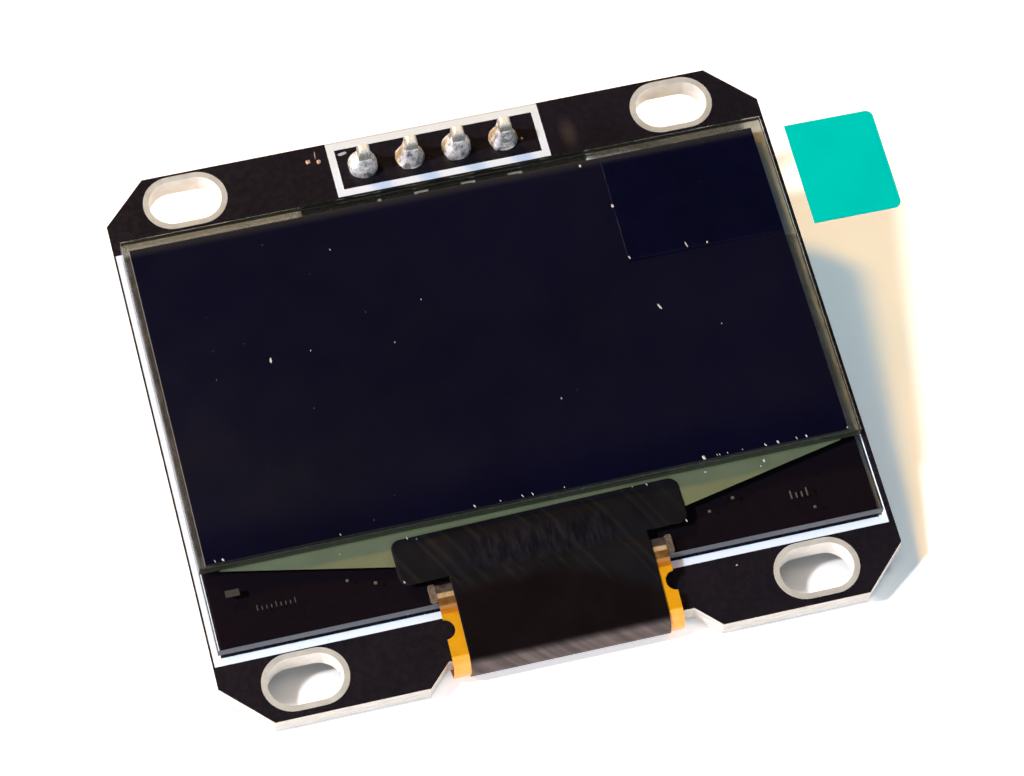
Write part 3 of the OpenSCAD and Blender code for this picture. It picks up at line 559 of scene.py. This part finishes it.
def cover_tape_material():
    """Black cover tape: slanting pale streaks of painted sheen, darker and paler streaks over the
    chip as painted light and shade of its ripples, darker still down the neck, and brown-grey
    streaks of painted reflection at the fold."""
    s = Shader("cover tape")
    foot = bar_foot()
    soft = s.noise(0.5, 3)
    bar = s.ramp(soft, (0.0054, 0.0055, 0.0074), (0.0074, 0.0074, 0.0096), 0.3, 0.7)
    # painted sheen: slanting pale streaks
    ripple_sheen = s.ramp(s.streaks((0.88, 0.48, 0.0), 2.6, 3.0), 0.0, 0.7, 0.46, 0.72)
    bar = s.mix(ripple_sheen, bar, (0.0128, 0.0128, 0.0138))

    # painted light and shade of the ripples over the chip
    ripple_light_and_shade = s.noise(1.0, 3, 0.6, 0.3, s.stretched((3.4, 0.8, 0.5)))
    ripple_light_and_shade = s.ramp(ripple_light_and_shade, (0.004, 0.0038, 0.0066), (0.0136, 0.013, 0.0166), 0.38, 0.66)
    pressed = s.times(s.between(s.axis(0), -4.0, 3.4, 0.6),
                      s.between(s.axis(1), foot - 0.1, foot + 1.5, 0.4), 0.8)
    bar = s.mix(pressed, bar, ripple_light_and_shade)

    neck = s.ramp(soft, (0.0046, 0.0029, 0.0036), (0.006, 0.004, 0.0048), 0.3, 0.7)
    # right of the middle, the bar's tone reaches further down the neck
    right_of_middle = s.math("MAXIMUM", s.math("SUBTRACT", s.axis(0), 0.6), 0.0)
    height = s.math("ADD", s.axis(1), s.times(right_of_middle, 0.5))
    face = s.ramp(height, neck, bar, foot - 1.4, foot - 0.4)

    # painted reflection: brown-grey streaks of sheen where the tape turns round the fold
    fold_sheen_streaks = s.streaks((0.62, 0.45, 0.42), 2.4, 3.0)
    fold_sheen = s.ramp(fold_sheen_streaks, (0.095, 0.076, 0.074), (0.165, 0.132, 0.126), 0.3, 0.7)
    fold_start = box_mm("flex_circuit")[0].y + 0.7
    fold = s.times(s.ramp(s.axis(1), 1.0, 0.0, fold_start - 0.03, fold_start + 0.09),
                   s.ramp(s.axis(2), 1.0, 0.0, 1.34, 1.66))
    s.set(Base_Color=s.mix(fold, face, fold_sheen))
    s.set(Roughness=s.ramp(soft, 0.42, 0.52), Specular_IOR_Level=0.03)
    s.bump(s.noise(7.0, 3), 0.004, 0.5)
    return s.material


def tape_edge_material():
    """The cut edge of the cover tape: black on the glass, and paler down the neck as a painted
    highlight.
    """
    s = Shader("cover tape edge")
    glass_edge = box_mm("lower_glass")[0].y
    past_glass = s.ramp(s.axis(1), 1.0, 0.0, glass_edge + 0.17, glass_edge + 0.87)
    # painted highlight along the cut edge down the neck
    painted_edge_highlight = s.ramp(s.noise(6.0, 2), (0.07, 0.052, 0.048), (0.15, 0.115, 0.105), 0.3, 0.7)
    s.set(Base_Color=s.mix(past_glass, (0.0075, 0.0068, 0.0072), painted_edge_highlight), Roughness=0.6)
    return s.material


def glue_material():
    """Clear glue, cloudy in patches."""
    s = Shader("clear glue")
    s.set(Base_Color=s.ramp(s.noise(4.0, 3), (0.085, 0.066, 0.054), (0.2, 0.165, 0.14)),
          Roughness=0.3, Alpha=s.mottle(2.5, 0.3, 0.7))
    s.bump(s.noise(5.0, 3), 0.05, 0.6)
    s.let_lamps_through((0.8, 0.78, 0.72))
    return s.material


def plastic_material(name, dark, light, roughness):
    """Moulded black plastic with fine grain."""
    s = Shader(name)
    s.set(Base_Color=s.mottle(2.2, dark, light))
    s.set(Roughness=s.ramp(s.noise(6.0, 3), roughness - 0.06, roughness + 0.08))
    s.bump(s.noise(16.0, 3), 0.02, 0.6)
    return s.material


def dust_material():
    """Pale dust, partly see-through."""
    s = Shader("dust")
    s.set(Base_Color=(0.62, 0.63, 0.6), Roughness=0.9)
    s.set(Alpha=s.ramp(s.noise(20.0, 2), 0.45, 0.9))
    return s.material


def mark_material():
    """Thin metal marks printed on the ledge, darkest in the square mark, dim in the left ticks."""
    s = Shader("ledge marks")
    metal = s.ramp(s.noise(9.0, 2), (0.05, 0.053, 0.05), (0.1, 0.105, 0.098))
    by_square = s.math("MULTIPLY", s.spot((-15.9, -8.7), 1.5), 1.2, clamp=True)
    green = s.ramp(s.noise(3.0, 2), (0.012, 0.017, 0.013), (0.034, 0.044, 0.036))
    on_left = s.ramp(s.axis(0), 0.55, 0.0, -11.5, -11.0)
    metal = s.mix(on_left, s.mix(by_square, metal, green), (0.02, 0.021, 0.026))
    s.set(Base_Color=metal, Roughness=0.45)
    return s.material


def copper_material():
    """Bare copper, a little dull."""
    s = Shader("bare copper speck")
    s.set(Base_Color=s.ramp(s.noise(5.0, 3), (0.34, 0.21, 0.16), (0.6, 0.46, 0.38)),
          Metallic=0.3, Roughness=0.5)
    return s.material


def dress_cad_nodes():
    """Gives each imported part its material."""
    dress(board_material(), "circuit_board")
    dress(tinned_material(), "slot_liner_*", "regulator_legs")
    dress(solder_material(), "solder_joint_*", "pin_pad_*", "tail_contacts", "chip_ends")
    dress(pin_material(), "header_pin_*")
    dress(ink_material(), "header_outline", "display_outline")
    # the pin numbers are dimmed: partly thinner ink, partly painted shade under the glass
    dress(ink_material("thin shaded ink", 0.3), "pin_numbers")
    dress(glass_material(), "lower_glass", "upper_glass")
    dress(adhesive_material(), "adhesive_pad", "tail_pad")
    dress(conductor_material(), "trace_fan")
    dress(seal_material(), "panel_seal")
    dress(light_film_material(), "lit_film")
    dress(polarizer_material(), "polarizer")
    dress(film_material(), "protective_film")
    dress(clear_tape_material(), "pull_tape")
    dress(tab_material(), "pull_tab")
    dress(chip_material(), "driver_chip")
    dress(polyimide_material(), "flex_circuit")
    dress(glue_material(), "glue_drop_*")
    for name, dark, light, roughness, nodes in (
            ("header plastic", (0.008, 0.008, 0.009), (0.016, 0.016, 0.018), 0.5, "header_strip"),
            ("moulded case", (0.01, 0.01, 0.011), (0.02, 0.02, 0.021), 0.6, "regulator_body"),
            ("resistor glaze", (0.006, 0.006, 0.007), (0.012, 0.012, 0.014), 0.25, "resistor_*"),
            ("fired ceramic", (0.3, 0.2, 0.11), (0.42, 0.29, 0.18), 0.55, "capacitor_*")):
        dress(plastic_material(name, dark, light, roughness), nodes)


# ---------- pieces

def add_object(name, data):
    """An object in the scene."""
    made = bpy.data.objects.new(name, data)
    bpy.context.scene.collection.objects.link(made)
    return made


def mesh_piece(name, build, slot, *materials):
    """Makes a piece from a bmesh that build fills in millimetres from the board's middle."""
    bm = bmesh.new()
    build(bm)
    for vertex in bm.verts:
        vertex.co = vertex.co * MM + MIDDLE
    bmesh.ops.recalc_face_normals(bm, faces=bm.faces)
    mesh = bpy.data.meshes.new(name)
    bm.to_mesh(mesh)
    bm.free()
    piece = add_object(name, mesh)
    for material in materials:
        mesh.materials.append(material)
    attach(piece, "root")
    return piece


def smooth(value, low=0.0, high=1.0):
    """0 below low, 1 above high, and a soft step between them."""
    t = min(max((value - low) / (high - low), 0.0), 1.0)
    return t * t * (3 - 2 * t)


def steps(start, end, size):
    """Evenly spaced values from start to end, about size apart."""
    count = max(1, round(abs(end - start) / size))
    return [start + (end - start) * k / count for k in range(count + 1)]


def skin(bm, rings):
    """Joins rings of vertices, one above the other, into a closed body with flat ends."""
    for lower, upper in zip(rings, rings[1:]):
        for k in range(len(lower)):
            n = (k + 1) % len(lower)
            bm.faces.new((lower[k], lower[n], upper[n], upper[k]))
    bm.faces.new(list(reversed(rings[0])))
    bm.faces.new(rings[-1])


# The cover tape: a bar over the chip and a neck that runs down the flexible circuit, over
# the edge of the glass and round the fold to the board's back.
TAPE_T = 0.08  # thickness
BAR = (15.0, 2.5)  # width and depth
BAR_SHIFT = (-0.12, 0.07)  # from the middle of the chip
BAR_TURN = math.radians(1)
BAR_CORNER = 0.5
NECK_W = 10.3
NECK_LEFT, NECK_RIGHT = -NECK_W / 2 - BAR_SHIFT[0], NECK_W / 2 - BAR_SHIFT[0]
NECK_END = 1.6  # length on the board's back
LIP_R = 0.6  # inner bends, at the glass and at the board's edge
FOLD_R = 0.8
UP = math.pi / 2
DOWN = 1.5 * math.pi
LEDGE_Z = box_mm("lower_glass")[1].z
FLEX_T = box_mm("flex_circuit")[1].z - LEDGE_Z


def bar_centre():
    """The middle of the bar, which lies a little off the middle of the chip."""
    x, y = middle_mm("driver_chip")
    return x + BAR_SHIFT[0], y + BAR_SHIFT[1]


def bar_foot():
    """Where the bar's lower edge lies."""
    return bar_centre()[1] - BAR[1] / 2


def flex_path():
    """The inner face of the flexible circuit from the bar's foot to the end of the neck, as
    (y, z, angle of the outward normal)."""
    flex_low = box_mm("flex_circuit")[0]
    lip = (box_mm("lower_glass")[0].y - 0.05, LEDGE_Z - LIP_R)
    fold = (flex_low.y + FLEX_T + FOLD_R, flex_low.z + FLEX_T + FOLD_R)
    rise, run = lip[1] - fold[1], lip[0] - fold[0]
    slope = math.atan2(rise, run) - math.asin((FOLD_R - LIP_R) / math.hypot(rise, run))
    turn = UP + slope

    def on_arc(centre, radius, angle):
        """One point of a bend."""
        return (centre[0] + radius * math.cos(angle), centre[1] + radius * math.sin(angle), angle)

    def arc(centre, radius, start, end, count):
        """The points of a bend, without its first."""
        return [on_arc(centre, radius, start + (end - start) * k / count)
                for k in range(1, count + 1)]

    path = [(y, LEDGE_Z, UP) for y in steps(bar_foot(), lip[0], 0.08)[1:]]
    path += arc(lip, LIP_R, UP, turn, 4)
    start_y, start_z, _ = path[-1]
    end_y, end_z, _ = on_arc(fold, FOLD_R, turn)
    straight = 24
    path += [(start_y + (end_y - start_y) * k / straight,
              start_z + (end_z - start_z) * k / straight, turn) for k in range(1, straight + 1)]
    path += arc(fold, FOLD_R, turn, DOWN, 30)
    path += [(y, fold[1] - FOLD_R, DOWN) for y in steps(fold[0], fold[0] + NECK_END, 0.4)[1:]]
    return path


def tape_lift(x, y):
    """Height of the tape's lower face above the bare ledge: conductors, the chip, the step
    on to the flexible circuit, and ripples pressed in over the chip."""
    chip_low, chip_high = box_mm("driver_chip")
    # the tape sags from the chip's edges to the ledge, over a longer way at the chip's ends
    end_stretch, sag_way = 1.9, 0.82
    away_x = max(chip_low.x - x, 0, x - chip_high.x)
    away_y = max(chip_low.y - y, 0, y - chip_high.y)
    slack = max(1 - math.hypot(away_x / end_stretch, away_y) / sag_way, 0)
    over_chip = (chip_high.z - LEDGE_Z) * (0.6 * slack + 0.4 * smooth(slack))
    over_ledge = max(chip_low.z - LEDGE_Z, over_chip)
    step_start, step_way = box_mm("lower_glass")[0].y + 1.3, 0.3
    on_flex = FLEX_T * smooth(step_start - y, 0.0, step_way)
    # the tape is pressed on to the chip's middle, and ripples there
    pressed = smooth(x, -4.4, -3.4) * (1 - smooth(x, 2.9, 3.9))
    pressed *= smooth(y, -10.6, -10.0) * (1 - smooth(y, -8.7, -8.3))
    ripple_size = 0.01
    ripple = noise.noise(Vector((x * 2.4 + 0.25 * y, y * 0.45, 0.0)))
    ripple += 0.5 * noise.noise(Vector((x * 5.1, y * 0.6, 3.0)))
    return max(over_ledge, on_flex) + ripple_size * pressed * (0.5 + ripple)


def tape_columns():
    """Places across the tape from the middle of the bar, closer together over the neck."""
    half_w = BAR[0] / 2
    coarse, fine = 0.12, 0.07
    return (steps(-half_w, NECK_LEFT, coarse)[:-1] + steps(NECK_LEFT, NECK_RIGHT, fine)
            + steps(NECK_RIGHT, half_w, coarse)[1:])


def bar_rows():
    """Places down the bar from its middle, closer together at the round corners."""
    half_d = BAR[1] / 2
    row_size = 0.06
    curve = [BAR_CORNER * (1 - math.cos(math.radians(a))) for a in range(0, 90, 15)]
    return ([half_d - d for d in curve]
            + steps(half_d - BAR_CORNER, BAR_CORNER - half_d, row_size)
            + [d - half_d for d in reversed(curve)])


def on_bar(place, across):
    """A point of the bar, which is turned a little, from its column and its row."""
    half_w, half_d = BAR[0] / 2, BAR[1] / 2
    into = max(abs(across) - (half_d - BAR_CORNER), 0)
    reach = half_w - BAR_CORNER + math.sqrt(max(BAR_CORNER ** 2 - into ** 2, 0))
    # outside the neck, the columns close up to follow the round corners
    keep = NECK_RIGHT + 0.1
    if abs(place) > keep:
        place = math.copysign(keep + (abs(place) - keep) * (reach - keep) / (half_w - keep), place)
    middle = bar_centre()
    return (middle[0] + place * math.cos(BAR_TURN) - across * math.sin(BAR_TURN),
            middle[1] + place * math.sin(BAR_TURN) + across * math.cos(BAR_TURN))


def cover_tape(bm):
    """The T-shaped tape. Its rows run from the top of the bar down the neck, and its columns
    from left to right."""
    columns, rows, path = tape_columns(), bar_rows(), flex_path()
    top, low = {}, {}

    def put(i, j, x, y, z, angle, lift):
        """A point on each face of the tape, lift above the point that it lies on."""
        out = (math.cos(angle), math.sin(angle))
        for points, height in ((low, lift), (top, lift + TAPE_T)):
            points[i, j] = bm.verts.new((x, y + out[0] * height, z + out[1] * height))

    for j, across in enumerate(rows):
        for i, place in enumerate(columns):
            x, y = on_bar(place, across)
            put(i, j, x, y, LEDGE_Z, UP, tape_lift(x, y))
    neck = [i for i, place in enumerate(columns)
            if NECK_LEFT - 0.001 < place < NECK_RIGHT + 0.001]
    last = len(rows) - 1
    for k, (y, z, angle) in enumerate(path):
        flat = angle < UP + 0.001
        for i in neck:
            # the bar's turn dies out within half a millimetre of its foot
            straight = smooth(bar_foot() - y, 0.0, 0.5) if flat else 1.0
            turned = columns[i] * math.sin(BAR_TURN) * (1 - straight)
            x = bar_centre()[0] + columns[i]
            wave = 0.006 * noise.noise(Vector((x * 0.9, k * 0.15, 7.0)))
            lift = tape_lift(x, y + turned) if flat else FLEX_T
            put(i, last + 1 + k, x, y + turned, z, angle, lift + max(wave, 0))
    cells = [(i, j) for j in range(last) for i in range(len(columns) - 1)]
    cells += [(i, j) for j in range(last, last + len(path)) for i in neck[:-1]]
    two_skins(bm, top, low, cells)


def two_skins(bm, top, low, cells):
    """Covers the cells of a grid above and below, and closes the open edges with a rim in the
    second material."""
    rims = {}
    for i, j in cells:
        ring = [(i, j), (i + 1, j), (i + 1, j + 1), (i, j + 1)]
        bm.faces.new([top[p] for p in reversed(ring)])
        bm.faces.new([low[p] for p in ring])
        for pair in zip(ring, ring[1:] + ring[:1]):
            rims[frozenset(pair)] = None if frozenset(pair) in rims else pair
    for pair in rims.values():
        if pair:
            a, b = pair
            bm.faces.new([top[a], top[b], low[b], low[a]]).material_index = 1
    for face in bm.faces:
        face.smooth = face.material_index == 0


# The four solder joints: how full each fillet is, how far it spreads over its pad, and the
# foot that runs out furthest, as its direction in degrees and its extra reach.
SOLDER_SHAPES = {1: (0.75, 0.76, (215, 0.05)), 2: (0.35, 0.71, (235, 0.14)),
                 3: (0.65, 0.76, (232, 0.1)), 4: (0.4, 0.71, (228, 0.14))}
SOLDER_WING = (150, 0.1)


def solder_joint(number):
    """One hand-soldered joint: a lumpy fillet that climbs a square pin from its pad."""
    joint_low, joint_high = box_mm("solder_joint_%d" % number)
    pad_top = box_mm("pin_pad_%d" % number)[1].z
    full, spread, foot_lobe = SOLDER_SHAPES[number]
    seed = random.Random(40 + number).uniform(0, 50)
    rings, turns = 18, 44
    foot_width = 16
    at_side, at_corner = 0.35, 0.44
    start_z, end_z = pad_top - 0.03, joint_high.z - 0.15

    def outer_reach(angle):
        """How far the joint's foot spreads in a direction."""
        lump = noise.noise(Vector((math.cos(angle) * 1.3, math.sin(angle) * 1.3, seed)))
        reach = spread * (1 + 0.1 * lump)
        for place, extra in (foot_lobe, SOLDER_WING):
            gap = (math.degrees(angle) - place + 180) % 360 - 180
            reach += extra * math.exp(-(gap / foot_width) ** 2)
        return reach

    def inner_reach(angle):
        """How far the top ring stands out: it follows the sides of the square pin."""
        return min(at_side / max(abs(math.cos(angle)), abs(math.sin(angle))), at_corner)

    def build(bm):
        x0, y0 = middle_mm("solder_joint_%d" % number)
        grid = []
        for j in range(rings + 1):
            u = j / rings
            ring = []
            for k in range(turns):
                angle = 2 * math.pi * k / turns
                pin = inner_reach(angle)
                r = pin + (outer_reach(angle) - pin) * (1 - u)
                # the outline climbs between a thin cone and a full dome
                cone = 1.35 * u ** 2.6
                dome = math.sqrt(max(1 - (1 - u) ** 2, 0))
                climb = cone + (dome - cone) * full
                x, y = r * math.cos(angle), r * math.sin(angle)
                bump = noise.noise(Vector((x * 3.2, y * 3.2, seed + u * 2.0)))
                z = start_z + (end_z - start_z) * climb
                z += 0.07 * bump * math.sin(math.pi * u)
                ring.append(bm.verts.new((x0 + x, y0 + y, z)))
            grid.append(ring)
        foot = [bm.verts.new((v.co.x, v.co.y, joint_low.z)) for v in grid[0]]
        skin(bm, [foot] + grid)
        for face in bm.faces:
            face.smooth = len(face.verts) == 4

    return build


# Width of a flake's upper face as a share of its lower face
FLAKE_TOP = 0.6


def flake(bm, centre, length, width, turn, height, rng, points=7):
    """A small closed irregular flake that lies on a surface, drawn in towards its top."""
    foot, top = [], []
    for k in range(points):
        angle = 2 * math.pi * k / points
        reach = rng.uniform(0.75, 1.15)
        x = math.cos(angle) * length / 2 * reach
        y = math.sin(angle) * width / 2 * reach
        across = x * math.cos(turn) - y * math.sin(turn)
        along = x * math.sin(turn) + y * math.cos(turn)
        for rim, share, up in ((foot, 1.0, 0.0), (top, FLAKE_TOP, height)):
            place = (centre[0] + across * share, centre[1] + along * share, centre[2] + up)
            rim.append(bm.verts.new(place))
    skin(bm, [foot, top])


def plate(bm, low, high):
    """A thin closed block between two corners."""
    made = bmesh.ops.create_cube(bm, size=1.0)
    for v in made["verts"]:
        for axis in range(3):
            v.co[axis] = low[axis] if v.co[axis] < 0 else high[axis]


def scatter(bm, z, thick, rng, flakes, points=7):
    """Lays flakes on a surface. Each is (x, y, length, width, turn)."""
    for x, y, length, width, turn in flakes:
        flake(bm, (x, y, z), length, width, turn, thick, rng, points)


def display_dust(bm):
    """Specks and lint on the protective film."""
    low, high = box_mm("protective_film")
    rng = random.Random(11)
    scatter(bm, high.z, 0.012, rng, (
        (-11.3, 3.0, 0.34, 0.12, 1.4), (8.9, 1.55, 0.42, 0.12, 2.0), (-9.2, 3.1, 0.1, 0.05, 1.5),
        (-6.9, 8.55, 0.12, 0.06, 1.6), (-3.0, 4.7, 0.1, 0.05, 1.5), (-4.9, 2.6, 0.1, 0.05, 1.4),
        (2.6, -2.4, 0.12, 0.05, 1.7), (11.75, -0.1, 0.08, 0.06, 1.2),
        (7.02, 10.5, 0.2, 0.12, 1.9)))
    for _ in range(16):
        size = rng.uniform(0.014, 0.03)
        spot = (rng.uniform(low.x + 0.3, high.x - 0.3), rng.uniform(low.y + 0.3, high.y - 0.3))
        flake(bm, (*spot, high.z), size * rng.uniform(1.0, 2.2), size, rng.uniform(0, 3.1), 0.006,
              rng, 5)


def tape_dust(bm):
    """Lint on the pull tape."""
    scatter(bm, box_mm("pull_tape")[1].z, 0.012, random.Random(5), (
        (8.05, 7.8, 0.2, 0.14, 1.5), (8.12, 4.65, 0.22, 0.08, 1.9),
        (11.2, 4.72, 0.4, 0.07, 1.8), (12.3, 4.62, 0.16, 0.1, 1.2)))


def edge_specks(bm):
    """Pale specks along the film's lower edge, and a few on the conductors below it."""
    film_low, film_high = box_mm("protective_film")
    rng = random.Random(3)
    for x, length, width in (
            (-16.08, 0.2, 0.13), (-16.49, 0.17, 0.04), (-10.1, 0.14, 0.04), (-3.18, 0.25, 0.07),
            (-1.85, 0.1, 0.05), (-0.7, 0.2, 0.06), (-0.18, 0.22, 0.06), (1.48, 0.1, 0.04),
            (8.8, 0.25, 0.16), (9.49, 0.11, 0.04), (9.62, 0.11, 0.04), (10.04, 0.09, 0.05),
            (10.83, 0.09, 0.05), (12.04, 0.22, 0.06), (12.71, 0.2, 0.1), (13.7, 0.18, 0.05),
            (14.22, 0.2, 0.1), (16.4, 0.12, 0.06)):
        flake(bm, (x, film_low.y + 0.09, film_high.z), length, width, 1.95, 0.03, rng)
    for x, y, size in ((11.93, -7.72, 0.2), (8.84, -7.68, 0.14), (11.69, -8.0, 0.1),
                       (-10.27, -7.92, 0.09)):
        flake(bm, (x, y, LEDGE_Z + 0.022), size * 0.8, size, 1.3 * x, 0.05, rng)


def tape_corner_specks(bm):
    """Small bright specks at the corners of the cover tape's bar."""
    scatter(bm, LEDGE_Z + 0.1, 0.03, random.Random(9), (
        (-6.8, -7.86, 0.2, 0.07, 1.9), (5.72, -7.7, 0.2, 0.07, 1.9),
        (-7.5, -10.16, 0.2, 0.07, 1.9), (7.16, -10.1, 0.2, 0.07, 1.9),
        (-6.35, -8.0, 0.07, 0.07, 1.9), (4.98, -7.66, 0.07, 0.07, 1.9)))


def ledge_marks(bm):
    """Plain alignment marks on the bare ledge: small squares, a plate and two rows of ticks."""
    top, thick = LEDGE_Z, 0.01
    for x, y, size in ((-10.25, -9.38, 0.14), (-8.9, -9.82, 0.16), (9.8, -9.36, 0.16),
                       (8.45, -9.82, 0.14), (13.75, -10.78, 0.14)):
        plate(bm, (x - size / 2, y - size / 2, top), (x + size / 2, y + size / 2, top + thick))
    plate(bm, (-16.32, -8.93, top), (-15.6, -8.56, top + thick))
    for start, foot, pitch, width, heights in (
            (-14.95, -9.95, 0.24, 0.05, (0.3, 0.2, 0.2, 0.2, 0.3, 0.2, 0.2, 0.2, 0.3)),
            (12.7, -10.1, 0.28, 0.07, (0.46, 0.3, 0.3, 0.46))):
        for k, height in enumerate(heights):
            x = start + k * pitch
            plate(bm, (x, foot, top), (x + width, foot + height, top + thick))


def copper_specks(bm):
    """A few bare specks beside the printed box round the pins, and one below the display."""
    scatter(bm, box_mm("circuit_board")[1].z, 0.02, random.Random(8), (
        (-6.59, 14.8, 0.3, 0.26, 0.2), (-6.03, 14.68, 0.3, 0.28, 1.1),
        (-6.15, 15.12, 0.5, 0.06, 1.45), (9.18, -12.67, 0.14, 0.1, 0.4),
        (4.8, 13.73, 0.16, 0.1, 1.9)), 9)


def ink_smears(bm):
    """Ink that ran into a corner of the printed box."""
    low, high = box_mm("header_outline")
    corner = (low.x + 0.78, high.y - 0.66)
    flake(bm, (*corner, low.z), 0.46, 0.22, 0.1, 0.02, random.Random(2), 9)


def add_pieces():
    """Adds the tape and the solder in place of their parts, and the small loose details."""
    dust = dust_material()
    tape = mesh_piece("chip_cover_tape", cover_tape, "tape_black", cover_tape_material(),
                      tape_edge_material())
    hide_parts("cover_tape")
    solder = solder_material()
    for number in range(1, 5):
        joint = mesh_piece("soldered_pin_%d" % number, solder_joint(number), "solder", solder)
        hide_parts("solder_joint_%d" % number)
    for build in (display_dust, tape_dust, edge_specks, tape_corner_specks):
        mesh_piece(build.__name__, build, "white_ink", dust)
    mesh_piece("ledge_marks", ledge_marks, "conductor_film", mark_material())
    mesh_piece("copper_specks", copper_specks, "tinned_copper", copper_material())
    mesh_piece("ink_smears", ink_smears, "white_ink", ink_material("ink smear", 0.55))


# ---------- stage

# The module leans: the board's lower edge and the pins' ends touch the floor.
PIN_LOW = box_mm("header_pin_1")[0]
BOARD_FOOT = box_mm("circuit_board")[0]
LEAN = math.atan2(-PIN_LOW.z, PIN_LOW.y - BOARD_FOOT.y)
FLOOR_NORMAL = Vector((0, math.sin(LEAN), math.cos(LEAN)))
FLOOR_ALONG = Vector((0, math.cos(LEAN), -math.sin(LEAN)))


def floor_point(x, along, up=0.0):
    """A point given on the floor that the module leans on, from millimetres to metres."""
    place = Vector((x, BOARD_FOOT.y, 0)) + FLOOR_ALONG * along + FLOOR_NORMAL * up
    return place * MM + MIDDLE


def floor_material():
    """White table top, not seen from below. What looks at it finds it a little brighter than
    the lamps alone make it, so that it stays white: most in front of the board's lower edge,
    and least under the board."""
    s = Shader("floor")
    s.tree.nodes.remove(s.bsdf)
    diffuse = s.add("ShaderNodeBsdfDiffuse", {0: (0.97, 0.97, 0.97)})
    board_low, board_high = box_mm("circuit_board")
    along = s.along(FLOOR_ALONG)
    edge = FLOOR_ALONG.y * BOARD_FOOT.y
    # the front starts further out by the lower right corner, so that the shadow stays there
    corner = s.ramp(s.axis(0), 0.0, 1.6, board_high.x - 3.2, board_high.x - 1.4)
    front = s.ramp(s.math("ADD", along, corner), 1.0, 0.0, edge + 0.4, edge + 2.2)
    under = s.times(s.between(s.axis(0), board_low.x + 0.5, board_high.x - 0.5, 0.3),
                    s.between(along, edge + 1.6, edge + 30.0, 0.4))
    path = s.add("ShaderNodeLightPath")
    seen = 0.0
    for ray in ("Is Camera Ray", "Is Glossy Ray", "Is Transmission Ray"):
        seen = s.math("ADD", seen, path.outputs[ray], clamp=True)
    glow = s.add("ShaderNodeEmission", {
        "Color": s.mix(front, (0.76, 0.95, 1.0), (1.0, 0.95, 0.97)),
        "Strength": s.times(seen, s.ramp(front, 0.21, 0.58), s.ramp(under, 1.0, 0.1))})
    both = s.add("ShaderNodeAddShader", {0: diffuse.outputs[0], 1: glow.outputs[0]})
    geometry = s.add("ShaderNodeNewGeometry")
    clear = s.add("ShaderNodeBsdfTransparent")
    s.show(s.mix_shaders(geometry.outputs["Backfacing"], both.outputs[0], clear.outputs[0]))
    return s.material


def add_floor():
    """A plain floor, a hair below the two edges that the module leans on."""
    mesh = bpy.data.meshes.new("floor")
    half_width, near, far, gap = 75, -60, 100, -0.02
    corners = [floor_point(x, along, gap) for x, along in
               ((-half_width, near), (half_width, near), (half_width, far), (-half_width, far))]
    mesh.from_pydata([tuple(c) for c in corners], [], [(0, 1, 2, 3)])
    mesh.materials.append(floor_material())
    add_object("floor", mesh)


def add_lamp(name, toward, distance, size, colour, level):
    """A round lamp in the direction toward, aimed at the module. level is the light that a
    face turned to it gets, where 1 shows a colour as it is written."""
    data = bpy.data.lights.new(name, "AREA")
    data.shape = "DISK"
    data.size = size
    data.color = colour
    data.energy = level * math.pi ** 2 * distance ** 2
    lamp = add_object(name, data)
    aim = toward.normalized()
    lamp.location = aim * distance
    lamp.rotation_mode = "QUATERNION"
    lamp.rotation_quaternion = aim.to_track_quat("Z", "Y")


def add_lamps():
    """A cool lamp from the left and a warm one from behind on the left."""
    cool = Vector((-0.89, 0, 0)) - 0.2 * FLOOR_ALONG + FLOOR_NORMAL
    warm = Vector((-0.47, 0, 0)) + 0.6 * FLOOR_ALONG + FLOOR_NORMAL
    add_lamp("cool_lamp", cool, distance=0.6, size=0.06, colour=(1.0, 0.97, 1.0), level=0.97)
    add_lamp("warm_lamp", warm, distance=0.6, size=0.09, colour=(1.0, 0.53, 0.065), level=0.74)


def add_world():
    """White all round for the camera. For light and reflections, bright low down and dark
    overhead, as in a room with a lit table."""
    world = bpy.data.worlds.new("room")
    bpy.context.scene.world = world
    world.use_nodes = True
    w = Nodes(world.node_tree)
    toward = {0: w.add("ShaderNodeTexCoord").outputs["Generated"], 1: FLOOR_NORMAL}
    height = w.add("ShaderNodeVectorMath", toward, operation="DOT_PRODUCT").outputs["Value"]
    # the light ends between these two heights above the table, given as sines
    bright_to, dark_from = 0.32, 0.44
    glow = w.ramp(height, (1.7, 1.9, 2.1), (0.028, 0.026, 0.034), bright_to, dark_from)
    room = w.add("ShaderNodeBackground", {"Color": glow})
    white = w.add("ShaderNodeBackground", {"Color": (1, 1, 1)})
    seen = w.add("ShaderNodeLightPath").outputs["Is Camera Ray"]
    w.add("ShaderNodeOutputWorld",
          {"Surface": w.mix_shaders(seen, room.outputs[0], white.outputs[0])})


# The photograph's viewing angle, from a fit to the board's outline, slots and pins: place in
# millimetres from the board's middle, turn in degrees, focal length in millimetres
CAMERA_PLACE = (-31.39, -85.17, 182.73)
CAMERA_TURN = (26.337, -3.091, -14.47)
CAMERA_LENS = 138.8


def add_camera():
    """The camera, without depth of field."""
    data = bpy.data.cameras.new("camera")
    data.lens = CAMERA_LENS
    data.sensor_width = 36.0
    data.clip_start = 0.01
    camera = add_object("camera", data)
    camera.location = Vector(CAMERA_PLACE) * MM + MIDDLE
    camera.rotation_euler = Euler([math.radians(a) for a in CAMERA_TURN])
    bpy.context.scene.camera = camera


dress_cad_nodes()
add_pieces()
add_floor()
add_lamps()
add_world()
add_camera()
bpy.context.scene.view_settings.view_transform = "Standard"
